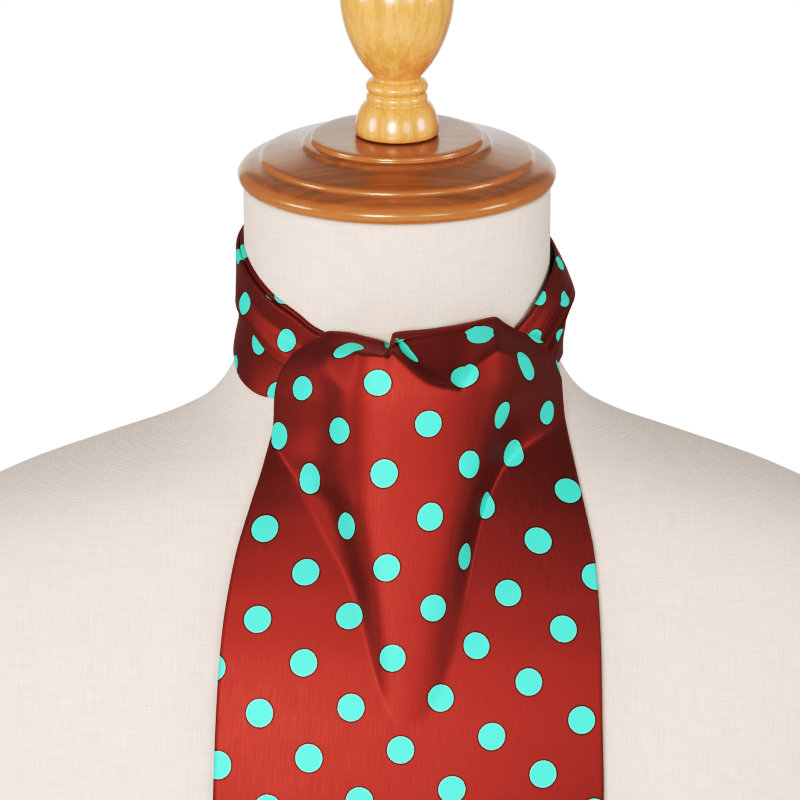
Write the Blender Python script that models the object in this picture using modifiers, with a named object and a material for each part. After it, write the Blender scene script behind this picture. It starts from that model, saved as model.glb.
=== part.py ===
"""A self-tied silk day cravat on a limbless, linen-covered dress form with a turned wooden neck cap and knob.

Tables are in millimetres and the scene is in metres. The form stands on its flat underside at the origin, and
its front faces -Y. "Forward" below is the distance towards the front, so a point's y is minus its forward value.
"""

import math

import bmesh
import bpy
import numpy as np

MM = 0.001
FINE_STEPS = 400
RADIUS_HALVINGS = 26
LEAST_RADIUS, MOST_RADIUS = 30.0, 240.0
SEAM_GAP = 0.3
SILK_WALL = 1.2
BAND_WALL = 1.1

# The neck column leans forward. Its axis starts at the underside of the wooden cap and runs down.
NECK_LEAN = math.radians(9.0)
NECK_RADIUS = 62.0
CAP_HEIGHT = 520.0
CAP_FORWARD = 9.3
NECK_FOOT = 440.0

# The dress form, as level sections: middle is how far forward the widest chord lies.
FORM_COLUMNS = ("height", "half_width", "front", "back", "middle", "squareness")
FORM_SECTIONS = (
    (0, 150, 91, -88, 0, 2.4),
    (60, 155, 95, -90, 0, 2.4),
    (140, 168, 104, -97, 0, 2.4),
    (220, 184, 111, -104, 0, 2.4),
    (270, 199, 112, -108, 0, 2.4),
    (310, 212, 106, -110, -1, 2.4),
    (340, 216, 98, -110, -3, 2.35),
    (365, 207, 89, -108, -6, 2.3),
    (382, 188, 82, -105, -9, 2.3),
    (396, 160, 76, -101, -11, 2.3),
    (408, 126, 71, -96, -12, 2.25),
    (418, 97, 67.5, -90, -11, 2.2),
    (428, 79, 65, -82, -8, 2.1),
    (440, 69, 63.2, -73, -5, 2.0),
    (452, 64, 62.6, -66, -2.2, 2.0),
    (466, 62.2, 62.9, -61.6, 0.6, 2.0),
    (480, 62, 65, -59, 3.0, 2.0),
    (535, 62, 73.7, -50.3, 11.7, 2.0),
)
FORM_RINGS = (0, 3, 40, 90, 140, 190, 235, 270, 300, 322, 340, 354, 366, 376, 385, 393, 400, 406, 412, 418, 424,
              431, 439, 448, 458, 470, 485, 502, 520)
FORM_SEGMENTS = 48
BASE_INSET = 0.98

# Turned profiles, from the top down the outer side to the axis: radius and height above the cap's underside.
CAP_PROFILE = (
    (0.0, 19.4), (33.2, 19.4), (34.3, 19.1), (34.7, 18.3), (34.7, 17.2), (35.6, 17.0), (37.4, 16.8), (38.2, 16.0),
    (38.6, 15.1), (46.0, 13.5), (52.4, 12.1), (54.2, 11.6), (55.0, 10.8), (55.1, 9.9), (57.0, 9.1), (60.0, 8.2),
    (62.6, 6.7), (64.2, 4.6), (64.3, 3.0), (63.6, 1.2), (62.0, 0.0), (0.0, 0.0),
)
CAP_SEGMENTS = 44
FINIAL_PROFILE = (
    (0.0, 102.0), (6.0, 101.3), (12.0, 98.4), (17.6, 92.6), (21.4, 85.4), (23.0, 78.5), (22.9, 74.0), (22.1, 68.5),
    (20.6, 62.5), (18.4, 56.8), (15.2, 50.6), (11.8, 46.2), (9.6, 43.8), (9.5, 42.8), (11.2, 42.2), (12.5, 40.6),
    (12.6, 39.0), (11.7, 37.6), (11.4, 37.0), (12.2, 36.4), (12.4, 34.6), (12.0, 33.4), (13.2, 32.8), (14.9, 30.6),
    (16.2, 27.2), (17.1, 23.0), (16.9, 20.6), (16.2, 19.7), (0.0, 19.7),
)
FINIAL_SEGMENTS = 24

# The neckband. Angle 0 is the front and positive angles are on the viewer's right. "Top" is how far the upper
# edge lies below the cap, along the neck's axis: highest at the back of the neck and lowest in front.
BAND_TOP_COLUMNS = ("angle", "top")
BAND_TOP_EDGE = (
    (-180, 12), (-140, 17), (-105, 24), (-77, 29), (-63, 34), (-52, 38.5), (-40, 43), (-31, 47.5), (0, 52),
    (45, 51.5), (53, 49), (61, 44.5), (70, 40), (79, 36.5), (90, 33.5), (103, 31), (140, 20), (180, 12),
)
BAND_FULL_WIDTH = 42.0
BAND_JOIN_ANGLE = 118.0
PLEATS_OPEN_OVER = 30.0
BAND_PLEATS = 4
BAND_PLEAT_RISE = 1.5
PLEAT_CLIMB = 0.8
BAND_JOIN_GAP = 0.7
# How far the outer face stands off the form, by the distance below the upper edge.
STAND_COLUMNS = ("below_edge", "back", "left", "right", "inner", "left_under", "right_under")
STAND_OFF = (
    (-2, 2.6, 3.1, 2.8, 1.6, 2.1, 2.1),
    (0, 2.8, 3.3, 3.1, 1.6, 2.1, 2.1),
    (4, 3.2, 3.4, 5.4, 1.6, 2.0, 2.6),
    (10, 3.4, 3.4, 8.4, 1.6, 1.9, 5.2),
    (16, 3.4, 3.5, 10.4, 1.6, 1.9, 7.4),
    (22, 3.4, 3.7, 10.6, 1.6, 2.0, 7.4),
    (30, 3.2, 4.0, 9.0, 1.6, 3.4, 5.6),
    (38, 3.0, 4.0, 6.4, 1.6, 3.8, 4.0),
    (48, 2.6, 3.0, 4.4, 1.6, 2.6, 2.4),
)
# How much of its stand-off a stretch keeps: under layers lie flat where another layer covers their ends.
LAYER_REST = 1.9
KEPT_COLUMNS = ("angle", "kept")
UNDER_KEPT = ((-118, 0), (-100, 0), (-82, 1), (-62, 1), (-46, 0), (0, 0), (52, 0), (66, 1), (78, 1), (97, 0),
              (118, 0))
RIGHT_KEPT = ((38, 0), (48, 0.5), (58, 1), (118, 1))
# Each stretch: where it starts and ends below the edge, by the angle round the neck.
STRETCH_COLUMNS = ("angle", "start", "end")
LEFT_STRETCH = ((-118, 0, 42), (-105, 0, 34), (-92, 0, 25), (-80, 0, 21.5), (-60, 0, 18.5), (-43, 0, 20.5),
                (-27, 0, 20))
LEFT_INNER = ((-114, -0.6, 7), (-95, -1.6, 8), (-60, -1.6, 8), (-27, -1.2, 7))
LEFT_UNDER = ((-112, 20, 40), (-95, 14, 42), (-75, 12, 43), (-55, 11, 40), (-40, 11, 34))
RIGHT_STRETCH = ((42, 0, 18), (60, 0, 16.5), (75, 0, 15.5), (90, 0, 17), (105, 0, 27), (118, 0, 42))
RIGHT_UNDER = ((53, 11, 27), (65, 10, 31), (85, 11, 38), (108, 18, 40))
# Gathers where the right stretch is pulled in behind the front blade.
GATHER_COUNT = 3
GATHER_RISE = 1.1
GATHER_START_ANGLE = 96.0
GATHER_FULL_ANGLE = 60.0
GATHER_FROM, GATHER_TO = 8.0, 38.0

# The crossing under the front blade.
WRAP_COLUMNS = ("angle", "top", "bottom", "stand_off")
WRAP_SECTIONS = (
    (-32, 54, 75, 6.4), (-24, 51.5, 79, 6.3), (-10, 50, 82, 6.1), (-3, 52.5, 83, 6.1), (5, 49.5, 83, 6.1),
    (14, 48, 82, 6.1), (25, 48, 80, 6.1), (33, 50, 77, 6.1),
)
WRAP_CROWN = 1.0

# The front blade's fold over the crossing, from its left end to its right: "rear" is how far its neck side
# stands off the neck and "roll" is the radius of the turn. Two flaps of the fold meet in the notch at -3.2.
FOLD_HEIGHT = 470.0
FOLD_COLUMNS = ("across", "height", "rear", "roll")
FOLD_EDGE = (
    (-31.0, 466.5, 5.2, 2.5), (-26.0, 468.6, 4.2, 3.8), (-20.0, 469.5, 2.2, 5.2), (-13.0, 468.9, 1.0, 5.6),
    (-7.5, 467.0, 0.7, 4.8), (-4.8, 464.0, 0.7, 2.6), (-3.2, 463.4, 0.7, 2.4), (-1.8, 469.0, 0.7, 5.4),
    (1.0, 471.0, 0.7, 6.6), (13.0, 472.6, 0.7, 7.4), (28.0, 474.0, 1.2, 7.0), (38.5, 474.4, 3.2, 5.6),
    (43.0, 471.8, 5.4, 4.6), (48.5, 467.4, 8.4, 3.6), (54.5, 464.6, 11.2, 3.0), (61.2, 458.4, 14.0, 2.5),
)
REAR_CLEAR = 0.7
REAR_LENGTH = 24.0
REAR_END_LENGTH = 2.0
REAR_LEFT, REAR_RIGHT = -21.0, 25.0
ROLL_PAST_CREST = math.radians(45.0)

# The front blade below the fold, by the drop from it: forward depth of the centre, and both side edges.
BLADE_COLUMNS = ("drop", "centre", "left", "left_depth", "right", "right_depth", "roundness")
BLADE_SECTIONS = (
    (0, 88, -31, 60, 61.2, 40, 2.6),
    (10, 91.5, -42.5, 56, 65.0, 38, 2.6),
    (20, 93, -47.5, 53, 66.4, 36, 2.6),
    (28, 94, -49, 52, 66.8, 35, 2.6),
    (40, 95, -49.5, 52, 67.6, 36, 2.6),
    (55, 96, -53, 57, 70.5, 44, 2.5),
    (70, 97.5, -58, 64, 74.0, 54, 2.4),
    (90, 100, -64, 76, 78.0, 69, 2.2),
    (120, 104, -69, 92, 80.0, 88, 2.0),
    (150, 108.5, -71, 101, 80.5, 98, 2.0),
    (180, 113, -72, 107, 81.0, 105, 2.0),
    (220, 116.5, -72.5, 109, 81.0, 108, 2.0),
    (245, 117, -72.5, 108, 81.0, 107, 2.0),
    (322, 114, -72.5, 104, 81.0, 103, 2.0),
)
BLADE_CENTRE = 4.0
POINT_START, POINT_END = 245.0, 321.0
EVEN_ROWS_SHARE = 0.42
POINT_BLUNT = 3.0
BLADE_CLEAR = 4.4
PUFF_DROP = 14.0

# Long soft steps where the blade falls back on each side of its middle, by the drop.
STEP_COLUMNS = ("drop", "right", "right_fall", "right_reach", "left", "left_fall", "left_reach")
SIDE_STEPS = (
    (0, 49, 0, 9, -33, 0, 8),
    (15, 46, 7, 9, -33, 0, 8),
    (30, 41, 17, 6.5, -32, 0, 8),
    (52, 37, 23, 5.5, -27, 6, 7),
    (68, 32.5, 22, 5, -22, 14, 6),
    (88, 27, 15, 5, -17, 13, 5.5),
    (106, 24, 10, 5.5, -13, 11, 5),
    (135, 20, 6, 7, -10, 7, 6.5),
    (180, 17, 3, 9, -9, 3.5, 8),
    (230, 15, 0, 10, -9, 0, 10),
)
# The tongue of cloth that comes out of the notch, under both flaps of the fold: where its upper crease runs, by
# the distance across, and how far the flaps stand over it.
TONGUE_COLUMNS = ("across", "crease_drop", "overhang")
TONGUE = (
    (-25, 24, 0), (-22, 14, 3.0), (-19, 9.6, 4.6), (-13, 7.2, 5.4), (-7, 6.0, 6.0), (-3.5, 5.4, 6.6), (0, 6.8, 8),
    (6, 10.4, 8.0), (12, 14, 6.6), (18, 18, 4.4), (25, 22, 0),
)
TONGUE_REACH = 1.6
TONGUE_FADE = 12.0
FLAP_LEAN = 0.5
# Soft troughs and ridges: where each starts and ends, its greatest depth and how wide it is.
TROUGH_COLUMNS = ("drop_from", "across_from", "drop_to", "across_to", "depth", "reach")
TROUGHS = (
    (8, -23.5, 64, -30, 11.0, 6.0),
    (118, -40, 200, -52, 2.2, 9.0),
    (110, 46, 215, 58, 2.6, 10.0),
    (150, 2, 260, 7, 1.8, 9.0),
)

# The shorter blade behind.
BACK_BLADE_TOP, BACK_BLADE_POINT, BACK_BLADE_END = 452.0, 228.0, 172.0
BACK_BLADE_COLUMNS = ("height", "left", "right", "stand_off")
BACK_BLADE_SECTIONS = (
    (172, -59, 65, 1.8), (228, -59, 65, 1.8), (340, -54, 60, 1.9), (380, -48, 54, 2.0), (415, -38, 43, 2.6),
    (436, -27, 30, 4.0), (452, -20, 22, 4.2),
)
BACK_BLADE_CENTRE = 3.0

COLOURS = {
    "silk": ((0.36, 0.030, 0.022), 0.55),
    "linen": ((0.79, 0.72, 0.66), 0.90),
    "cap_wood": ((0.32, 0.105, 0.032), 0.30),
    "knob_wood": ((0.62, 0.28, 0.075), 0.30),
}


def column(table, columns, name):
    return [row[columns.index(name)] for row in table]


def smooth_through(knots, values):
    """A smooth curve through the knots that never overshoots between them."""
    xs, ys = np.array(knots, float), np.array(values, float)
    steps = np.diff(xs)
    slopes = np.diff(ys) / steps
    tangents = np.zeros(len(xs))
    for i in range(1, len(xs) - 1):
        if slopes[i - 1] * slopes[i] > 0:
            before, after = 2 * steps[i] + steps[i - 1], steps[i] + 2 * steps[i - 1]
            tangents[i] = (before + after) / (before / slopes[i - 1] + after / slopes[i])
    tangents[0], tangents[-1] = slopes[0], slopes[-1]

    def value(at):
        at = np.clip(np.asarray(at, float), xs[0], xs[-1])
        i = np.clip(np.searchsorted(xs, at) - 1, 0, len(xs) - 2)
        h = steps[i]
        t = (at - xs[i]) / h
        start, end = ys[i] * (1 + 2 * t) * (1 - t) ** 2, ys[i + 1] * t * t * (3 - 2 * t)
        return start + end + h * tangents[i] * t * (1 - t) ** 2 + h * tangents[i + 1] * t * t * (t - 1)

    return value


def curves_of(table, columns):
    """One smooth curve for each column, against the table's first."""
    return {name: smooth_through(column(table, columns, columns[0]), column(table, columns, name))
            for name in columns[1:]}


def ease(t):
    t = np.clip(t, 0.0, 1.0)
    return t * t * (3 - 2 * t)


def rise(t):
    """0 well before, 1 well after and a half at t = 0."""
    return 0.5 * (1 + np.tanh(t))


FORM = curves_of(FORM_SECTIONS, FORM_COLUMNS)
STAND = curves_of(STAND_OFF, STAND_COLUMNS)
BAND_TOP = curves_of(BAND_TOP_EDGE, BAND_TOP_COLUMNS)["top"]
KEPT_UNDER = curves_of(UNDER_KEPT, KEPT_COLUMNS)["kept"]
KEPT_RIGHT = curves_of(RIGHT_KEPT, KEPT_COLUMNS)["kept"]
WRAP = curves_of(WRAP_SECTIONS, WRAP_COLUMNS)
FOLD = curves_of(FOLD_EDGE, FOLD_COLUMNS)
BLADE = curves_of(BLADE_SECTIONS, BLADE_COLUMNS)
STEPS = curves_of(SIDE_STEPS, STEP_COLUMNS)
TONGUE_CURVES = curves_of(TONGUE, TONGUE_COLUMNS)
BACK_BLADE = curves_of(BACK_BLADE_SECTIONS, BACK_BLADE_COLUMNS)


def form_front(across, height):
    """How far forward the form's front is, or its widest chord beyond its side."""
    half, front, middle = FORM["half_width"](height), FORM["front"](height), FORM["middle"](height)
    power = FORM["squareness"](height)
    inside = np.clip(1 - (np.abs(across) / half) ** power, 0, 1)
    return middle + (front - middle) * inside ** (1 / power)


def form_inside(across, forward, height):
    """Below 1 inside the form and above 1 outside."""
    middle, power = FORM["middle"](height), FORM["squareness"](height)
    ahead = forward - middle
    reach = np.where(ahead > 0, FORM["front"](height) - middle, middle - FORM["back"](height))
    return (np.abs(across) / FORM["half_width"](height)) ** power + (np.abs(ahead) / reach) ** power


def neck_point(angle, below_cap, radius):
    """A point round the neck's leaning axis. Angles are in radians."""
    ahead = radius * np.cos(angle)
    across = radius * np.sin(angle)
    forward = CAP_FORWARD - below_cap * math.sin(NECK_LEAN) + ahead * math.cos(NECK_LEAN)
    height = CAP_HEIGHT - below_cap * math.cos(NECK_LEAN) - ahead * math.sin(NECK_LEAN)
    return across, forward, height


def form_radius(angle, below_cap):
    """The form's own radius there, square to the neck's axis."""
    low = np.full(np.shape(angle), LEAST_RADIUS)
    high = np.full(np.shape(angle), MOST_RADIUS)
    for _ in range(RADIUS_HALVINGS):
        middle = (low + high) / 2
        inside = form_inside(*neck_point(angle, below_cap, middle)) < 1
        low, high = np.where(inside, middle, low), np.where(inside, high, middle)
    return (low + high) / 2


def in_metres(across, forward, height):
    return np.stack([across, -forward, height], axis=-1) * MM


def collection_of(name, hidden=False):
    made = bpy.data.collections.new(name)
    bpy.context.scene.collection.children.link(made)
    made.hide_render = hidden
    return made


def material_of(name):
    colour, roughness = COLOURS[name]
    made = bpy.data.materials.new(name)
    made.use_nodes = True
    shader = made.node_tree.nodes["Principled BSDF"]
    shader.inputs["Base Color"].default_value = (*colour, 1.0)
    shader.inputs["Roughness"].default_value = roughness
    shader.inputs["Metallic"].default_value = 0.0
    return made


def finish_mesh(name, mesh, group, material, sharp_angle=40.0):
    mesh.shade_smooth()
    mesh.set_sharp_from_angle(angle=math.radians(sharp_angle))
    mesh.materials.append(material)
    made = bpy.data.objects.new(name, mesh)
    group.objects.link(made)
    return made


def mesh_from_grid(name, points, closed_round=False):
    """An open sheet, or a tube when closed round. With rows from the top and columns to the right it faces out."""
    rows, across = points.shape[:2]
    ring = across if closed_round else across - 1
    faces = []
    for r in range(rows - 1):
        for c in range(ring):
            d = (c + 1) % across
            faces.append((r * across + c, (r + 1) * across + c, (r + 1) * across + d, r * across + d))
    mesh = bpy.data.meshes.new(name)
    mesh.from_pydata(points.reshape(-1, 3).tolist(), [], faces)
    return mesh


def cloth_wall(name, outer, group, material, wall):
    """A sheet through its outer face, made a wall towards its inside."""
    made = finish_mesh(name, mesh_from_grid(name, outer), group, material)
    thickness = made.modifiers.new("Cloth thickness", "SOLIDIFY")
    thickness.thickness = wall * MM
    thickness.offset = -1.0
    thickness.use_even_offset = False
    return made


def form_ring(height, angles):
    """One ring of the form. Rings tip with the neck, so that the last lies in the cap's plane."""
    tip = math.tan(NECK_LEAN) * float(ease((height - NECK_FOOT) / (CAP_HEIGHT - NECK_FOOT)))
    axis = CAP_FORWARD - (CAP_HEIGHT - height) * math.tan(NECK_LEAN)
    level = np.full(angles.shape, float(height))
    for _ in range(12):
        power, middle = FORM["squareness"](level), FORM["middle"](level)
        reach = np.where(np.cos(angles) > 0, FORM["front"](level) - middle, middle - FORM["back"](level))
        across = FORM["half_width"](level) * np.sign(np.sin(angles)) * np.abs(np.sin(angles)) ** (2 / power)
        forward = middle + reach * np.sign(np.cos(angles)) * np.abs(np.cos(angles)) ** (2 / power)
        level = height - tip * (forward - axis)
    return across, forward, level


def build_form_body(group, material):
    angles = np.linspace(0, 2 * math.pi, FORM_SEGMENTS, endpoint=False)
    rings = []
    for height in FORM_RINGS:
        across, forward, level = form_ring(height, angles)
        inset = BASE_INSET if height == 0 else 1.0
        rings.append(in_metres(across * inset, forward * inset, level))
    mesh = mesh_from_grid("form_body", np.array(rings), closed_round=True)
    body = bmesh.new()
    body.from_mesh(mesh)
    bmesh.ops.holes_fill(body, edges=[e for e in body.edges if e.is_boundary], sides=0)
    bmesh.ops.recalc_face_normals(body, faces=body.faces[:])
    body.to_mesh(mesh)
    body.free()
    return finish_mesh("form_body", mesh, group, material, 50.0)


def turned(name, profile, segments, group, material):
    """A profile turned about the neck's axis, standing on the neck's top."""
    mesh = bpy.data.meshes.new(name)
    points = [(radius * MM, 0.0, height * MM) for radius, height in profile]
    mesh.from_pydata(points, [(i, i + 1) for i in range(len(points) - 1)], [])
    made = bpy.data.objects.new(name, mesh)
    group.objects.link(made)
    turn = made.modifiers.new("Turned", "SCREW")
    turn.axis, turn.angle = "Z", 2 * math.pi
    turn.steps = turn.render_steps = segments
    turn.use_merge_vertices, turn.merge_threshold = True, 0.00005
    turn.use_smooth_shade = True
    mesh.materials.append(material)
    up = SEAM_GAP
    made.location = (0.0, -(CAP_FORWARD + up * math.sin(NECK_LEAN)) * MM,
                     (CAP_HEIGHT + up * math.cos(NECK_LEAN)) * MM)
    made.rotation_euler = (NECK_LEAN, 0.0, 0.0)
    return made


def band_top(degrees):
    """How far below the cap the band's upper edge lies. Angles may run on past the back of the neck."""
    return BAND_TOP((np.asarray(degrees) + 180) % 360 - 180)


def pleat_rise(share):
    """Knife pleats across the band: each climbs slowly and then drops to the next."""
    phase = (share * BAND_PLEATS) % 1.0
    falling = (1 - phase) / (1 - PLEAT_CLIMB)
    return BAND_PLEAT_RISE * np.where(phase < PLEAT_CLIMB, phase / PLEAT_CLIMB, falling)


def band_points(stretch, side, columns, rows):
    """The outer face of one stretch of the neckband."""
    limits = curves_of(stretch, STRETCH_COLUMNS)
    degrees = np.linspace(stretch[0][0], stretch[-1][0], columns)
    share = np.linspace(0, 1, rows)
    degrees, share = np.meshgrid(degrees, share)
    below = limits["start"](degrees) * (1 - share) + limits["end"](degrees) * share
    angle = np.radians(degrees)
    down = band_top(degrees) + below
    stand = STAND[side](below)
    if side in ("left", "right"):
        opened = ease((BAND_JOIN_ANGLE - np.abs(degrees)) / PLEATS_OPEN_OVER)
        pleated = STAND["back"](below) + pleat_rise(below / BAND_FULL_WIDTH)
        stand = pleated * (1 - opened) + stand * opened
    if side.endswith("under"):
        stand = LAYER_REST + (stand - LAYER_REST) * KEPT_UNDER(degrees)
    if side == "right":
        stand = LAYER_REST + (stand - LAYER_REST) * KEPT_RIGHT(degrees)
        pulled = ease((GATHER_START_ANGLE - degrees) / (GATHER_START_ANGLE - GATHER_FULL_ANGLE))
        place = np.clip((below - GATHER_FROM) / (GATHER_TO - GATHER_FROM), 0, 1)
        gathers = np.sin(place * 2 * math.pi * GATHER_COUNT) * np.sin(place * math.pi)
        stand = stand + pulled * GATHER_RISE * gathers
    return in_metres(*neck_point(angle, down, form_radius(angle, down) + stand))


def back_band_points(columns):
    corners = sorted([p / BAND_PLEATS for p in range(BAND_PLEATS + 1)]
                     + [(p + PLEAT_CLIMB) / BAND_PLEATS for p in range(BAND_PLEATS)])
    degrees, share = np.meshgrid(np.linspace(BAND_JOIN_ANGLE, 360 - BAND_JOIN_ANGLE, columns), corners)
    gap = math.degrees(BAND_JOIN_GAP / NECK_RADIUS)
    middle = 180.0
    degrees = middle + (degrees - middle) * (1 - gap / (middle - BAND_JOIN_ANGLE))
    angle = np.radians(degrees)
    below = share * BAND_FULL_WIDTH
    down = band_top(degrees) + below
    stand = STAND["back"](below) + pleat_rise(share)
    return in_metres(*neck_point(angle, down, form_radius(angle, down) + stand))


def wrap_points(columns, rows):
    degrees, share = np.meshgrid(np.linspace(WRAP_SECTIONS[0][0], WRAP_SECTIONS[-1][0], columns),
                                 np.linspace(0, 1, rows))
    angle = np.radians(degrees)
    down = WRAP["top"](degrees) * (1 - share) + WRAP["bottom"](degrees) * share
    crown = WRAP_CROWN * (np.sin(share * math.pi) - 0.4)
    return in_metres(*neck_point(angle, down, form_radius(angle, down) + WRAP["stand_off"](degrees) + crown))


def fold_rear(across, height):
    """How far forward the rear of the fold lies."""
    axis = CAP_FORWARD - (CAP_HEIGHT - height) * math.tan(NECK_LEAN)
    radius = NECK_RADIUS + FOLD["rear"](across)
    rear = axis + np.sqrt(np.clip(radius ** 2 - across ** 2, 0, None))
    return np.maximum(rear, form_front(across, height) + REAR_CLEAR)


def trough_depth(across, drop):
    depth = np.zeros(np.shape(across))
    for drop_from, across_from, drop_to, across_to, deepest, reach in TROUGHS:
        along = (drop - drop_from) / (drop_to - drop_from)
        middle = across_from + (across_to - across_from) * np.clip(along, 0, 1)
        swell = np.sin(math.pi * np.clip(along, 0, 1)) ** 0.7
        depth = depth + deepest * swell * np.exp(-((across - middle) / reach) ** 2)
    return depth


def blade_height(across, drop):
    """Rows follow the fold's edge at the top and are level further down."""
    level = ease(drop / 45)
    edge = FOLD["height"](across)
    return edge * (1 - level) + FOLD_HEIGHT * level - drop


def blade_forward(across, drop):
    """The outer face of the front blade below its fold."""
    centre, power = BLADE["centre"](drop), BLADE["roundness"](drop)
    right = across > BLADE_CENTRE
    edge = np.where(right, BLADE["right"](drop), BLADE["left"](drop))
    edge_depth = np.where(right, BLADE["right_depth"](drop), BLADE["left_depth"](drop))
    fall = np.where(right, STEPS["right_fall"](drop), STEPS["left_fall"](drop))
    out = np.clip((across - BLADE_CENTRE) / (edge - BLADE_CENTRE), 0, 1)
    forward = centre - (centre - edge_depth - fall) * out ** power
    forward = forward - STEPS["right_fall"](drop) * rise(
        (across - STEPS["right"](drop)) / STEPS["right_reach"](drop))
    forward = forward - STEPS["left_fall"](drop) * rise(
        (STEPS["left"](drop) - across) / STEPS["left_reach"](drop))
    forward = forward - trough_depth(across, drop)
    crease, overhang = TONGUE_CURVES["crease_drop"](across), TONGUE_CURVES["overhang"](across)
    below_crease = drop - crease
    under = rise(below_crease / TONGUE_REACH)
    leaned = FLAP_LEAN * ease(drop / crease) * (1 - under)
    forward = forward - overhang * (leaned + under * (1 - ease(below_crease / TONGUE_FADE)))
    height = blade_height(across, drop)
    forward = np.maximum(forward, form_front(across, height) + BLADE_CLEAR)
    roll = FOLD["roll"](across)
    first = roll * (1 - math.cos(ROLL_PAST_CREST))
    start = fold_rear(across, FOLD["height"](across)) + roll * (1 + math.sin(ROLL_PAST_CREST))
    puff = np.sin(math.pi / 2 * np.clip((drop - first) / PUFF_DROP, 0, 1))
    return start + (forward - start) * puff


def even_columns(across, forward, height, count):
    """A curve's points, moved so that they are evenly spaced along the cloth."""
    steps = np.sqrt(np.diff(across) ** 2 + np.diff(forward) ** 2 + np.diff(height) ** 2)
    along = np.concatenate([[0], np.cumsum(steps)])
    even = np.linspace(0, along[-1], count)
    return [np.interp(even, along, values) for values in (across, forward, height)]


def front_blade_points(columns, drops, rear_rows, roll_rows):
    """The outer face of the front blade: up behind the crossing, over the fold and down to its point."""
    crest_across = np.linspace(FOLD_EDGE[0][0], FOLD_EDGE[-1][0], FINE_STEPS)
    crest_height = FOLD["height"](crest_across)
    crest_forward = fold_rear(crest_across, crest_height) + FOLD["roll"](crest_across)
    across, _, height = even_columns(crest_across, crest_forward, crest_height, columns)
    rear, roll = fold_rear(across, height), FOLD["roll"](across)
    share = np.linspace(0, 1, columns)
    rear_length = REAR_END_LENGTH + (REAR_LENGTH - REAR_END_LENGTH) * (1 - np.abs(2 * share - 1) ** 3)
    gathered = REAR_LEFT + (REAR_RIGHT - REAR_LEFT) * share
    rows = []
    for t in np.linspace(1, 0, rear_rows, endpoint=False):
        length = rear_length * t
        x = across + (gathered - across) * length / REAR_LENGTH
        level = height - roll - length
        rows.append((x, fold_rear(x, level), level))
    turns = np.linspace(-math.pi / 2, ROLL_PAST_CREST, roll_rows)
    for turn in turns:
        rows.append((across, rear + roll * (1 + np.sin(turn)), height - roll * (1 - np.cos(turn))))
    for drop in drops:
        left, right = BLADE["left"](drop), BLADE["right"](drop)
        if drop > POINT_START:
            closing = (drop - POINT_START) / (POINT_END - POINT_START)
            left = left + (BLADE_CENTRE - POINT_BLUNT - left) * closing
            right = right + (BLADE_CENTRE + POINT_BLUNT - right) * closing
        x = np.linspace(left, right, FINE_STEPS)
        rows.append(even_columns(x, blade_forward(x, drop), blade_height(x, drop), columns))
    return np.array([in_metres(*row) for row in rows])


def back_blade_points(columns, rows):
    points = []
    for height in np.linspace(BACK_BLADE_TOP, BACK_BLADE_END, rows):
        left, right = BACK_BLADE["left"](height), BACK_BLADE["right"](height)
        if height < BACK_BLADE_POINT:
            closing = (BACK_BLADE_POINT - height) / (BACK_BLADE_POINT - BACK_BLADE_END)
            left = left + (BACK_BLADE_CENTRE - POINT_BLUNT - left) * closing
            right = right + (BACK_BLADE_CENTRE + POINT_BLUNT - right) * closing
        x = np.linspace(left, right, columns)
        points.append(in_metres(x, form_front(x, height) + BACK_BLADE["stand_off"](height), height + 0 * x))
    return np.array(points)


def blade_drops(first, count):
    """Row drops: close together under the fold, wider down the chest."""
    t = np.linspace(0, 1, count)
    return first + (POINT_END - first) * (EVEN_ROWS_SHARE * t + (1 - EVEN_ROWS_SHARE) * t ** 2)


def main():
    for old in list(bpy.data.objects):
        bpy.data.objects.remove(old, do_unlink=True)
    group = collection_of("cravat on dress form")
    silk, linen = material_of("silk"), material_of("linen")
    build_form_body(group, linen)
    turned("form_cap", CAP_PROFILE, CAP_SEGMENTS, group, material_of("cap_wood"))
    turned("form_finial", FINIAL_PROFILE, FINIAL_SEGMENTS, group, material_of("knob_wood"))
    drops = blade_drops(first=3.0, count=38)
    stretches = {
        "neckband_back": back_band_points(columns=20),
        "neckband_left": band_points(LEFT_STRETCH, "left", columns=18, rows=12),
        "neckband_left_inner": band_points(LEFT_INNER, "inner", columns=16, rows=3),
        "neckband_left_under": band_points(LEFT_UNDER, "left_under", columns=18, rows=6),
        "neckband_right": band_points(RIGHT_STRETCH, "right", columns=18, rows=15),
        "neckband_right_under": band_points(RIGHT_UNDER, "right_under", columns=13, rows=6),
    }
    blades = {
        "knot_wrap": wrap_points(columns=16, rows=7),
        "back_blade": back_blade_points(columns=13, rows=24),
        "front_blade": front_blade_points(columns=34, drops=drops, rear_rows=3, roll_rows=6),
    }
    for name, points in stretches.items():
        cloth_wall(name, points, group, silk, BAND_WALL)
    for name, points in blades.items():
        cloth_wall(name, points, group, silk, SILK_WALL)


main()
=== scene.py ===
# %% [markdown]
# # A silk day cravat on a dress form
#
# This lesson dresses a linen-covered half form in a self-tied day cravat, which is also called a casual
# ascot. The cravat is one long strip of doubled silk: two wide pointed blades, and between them a neckband
# that is stitched into pleats so that it lies flat behind the neck. Tied, the long end comes up behind the
# crossing, folds over it and falls in front. Each cloth here is a thin shell on its rigid solid, and its
# flat cut is worked out again from the folded shape, so that the dots keep their size and stay round.

# %% The fixed frame
import math

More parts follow.
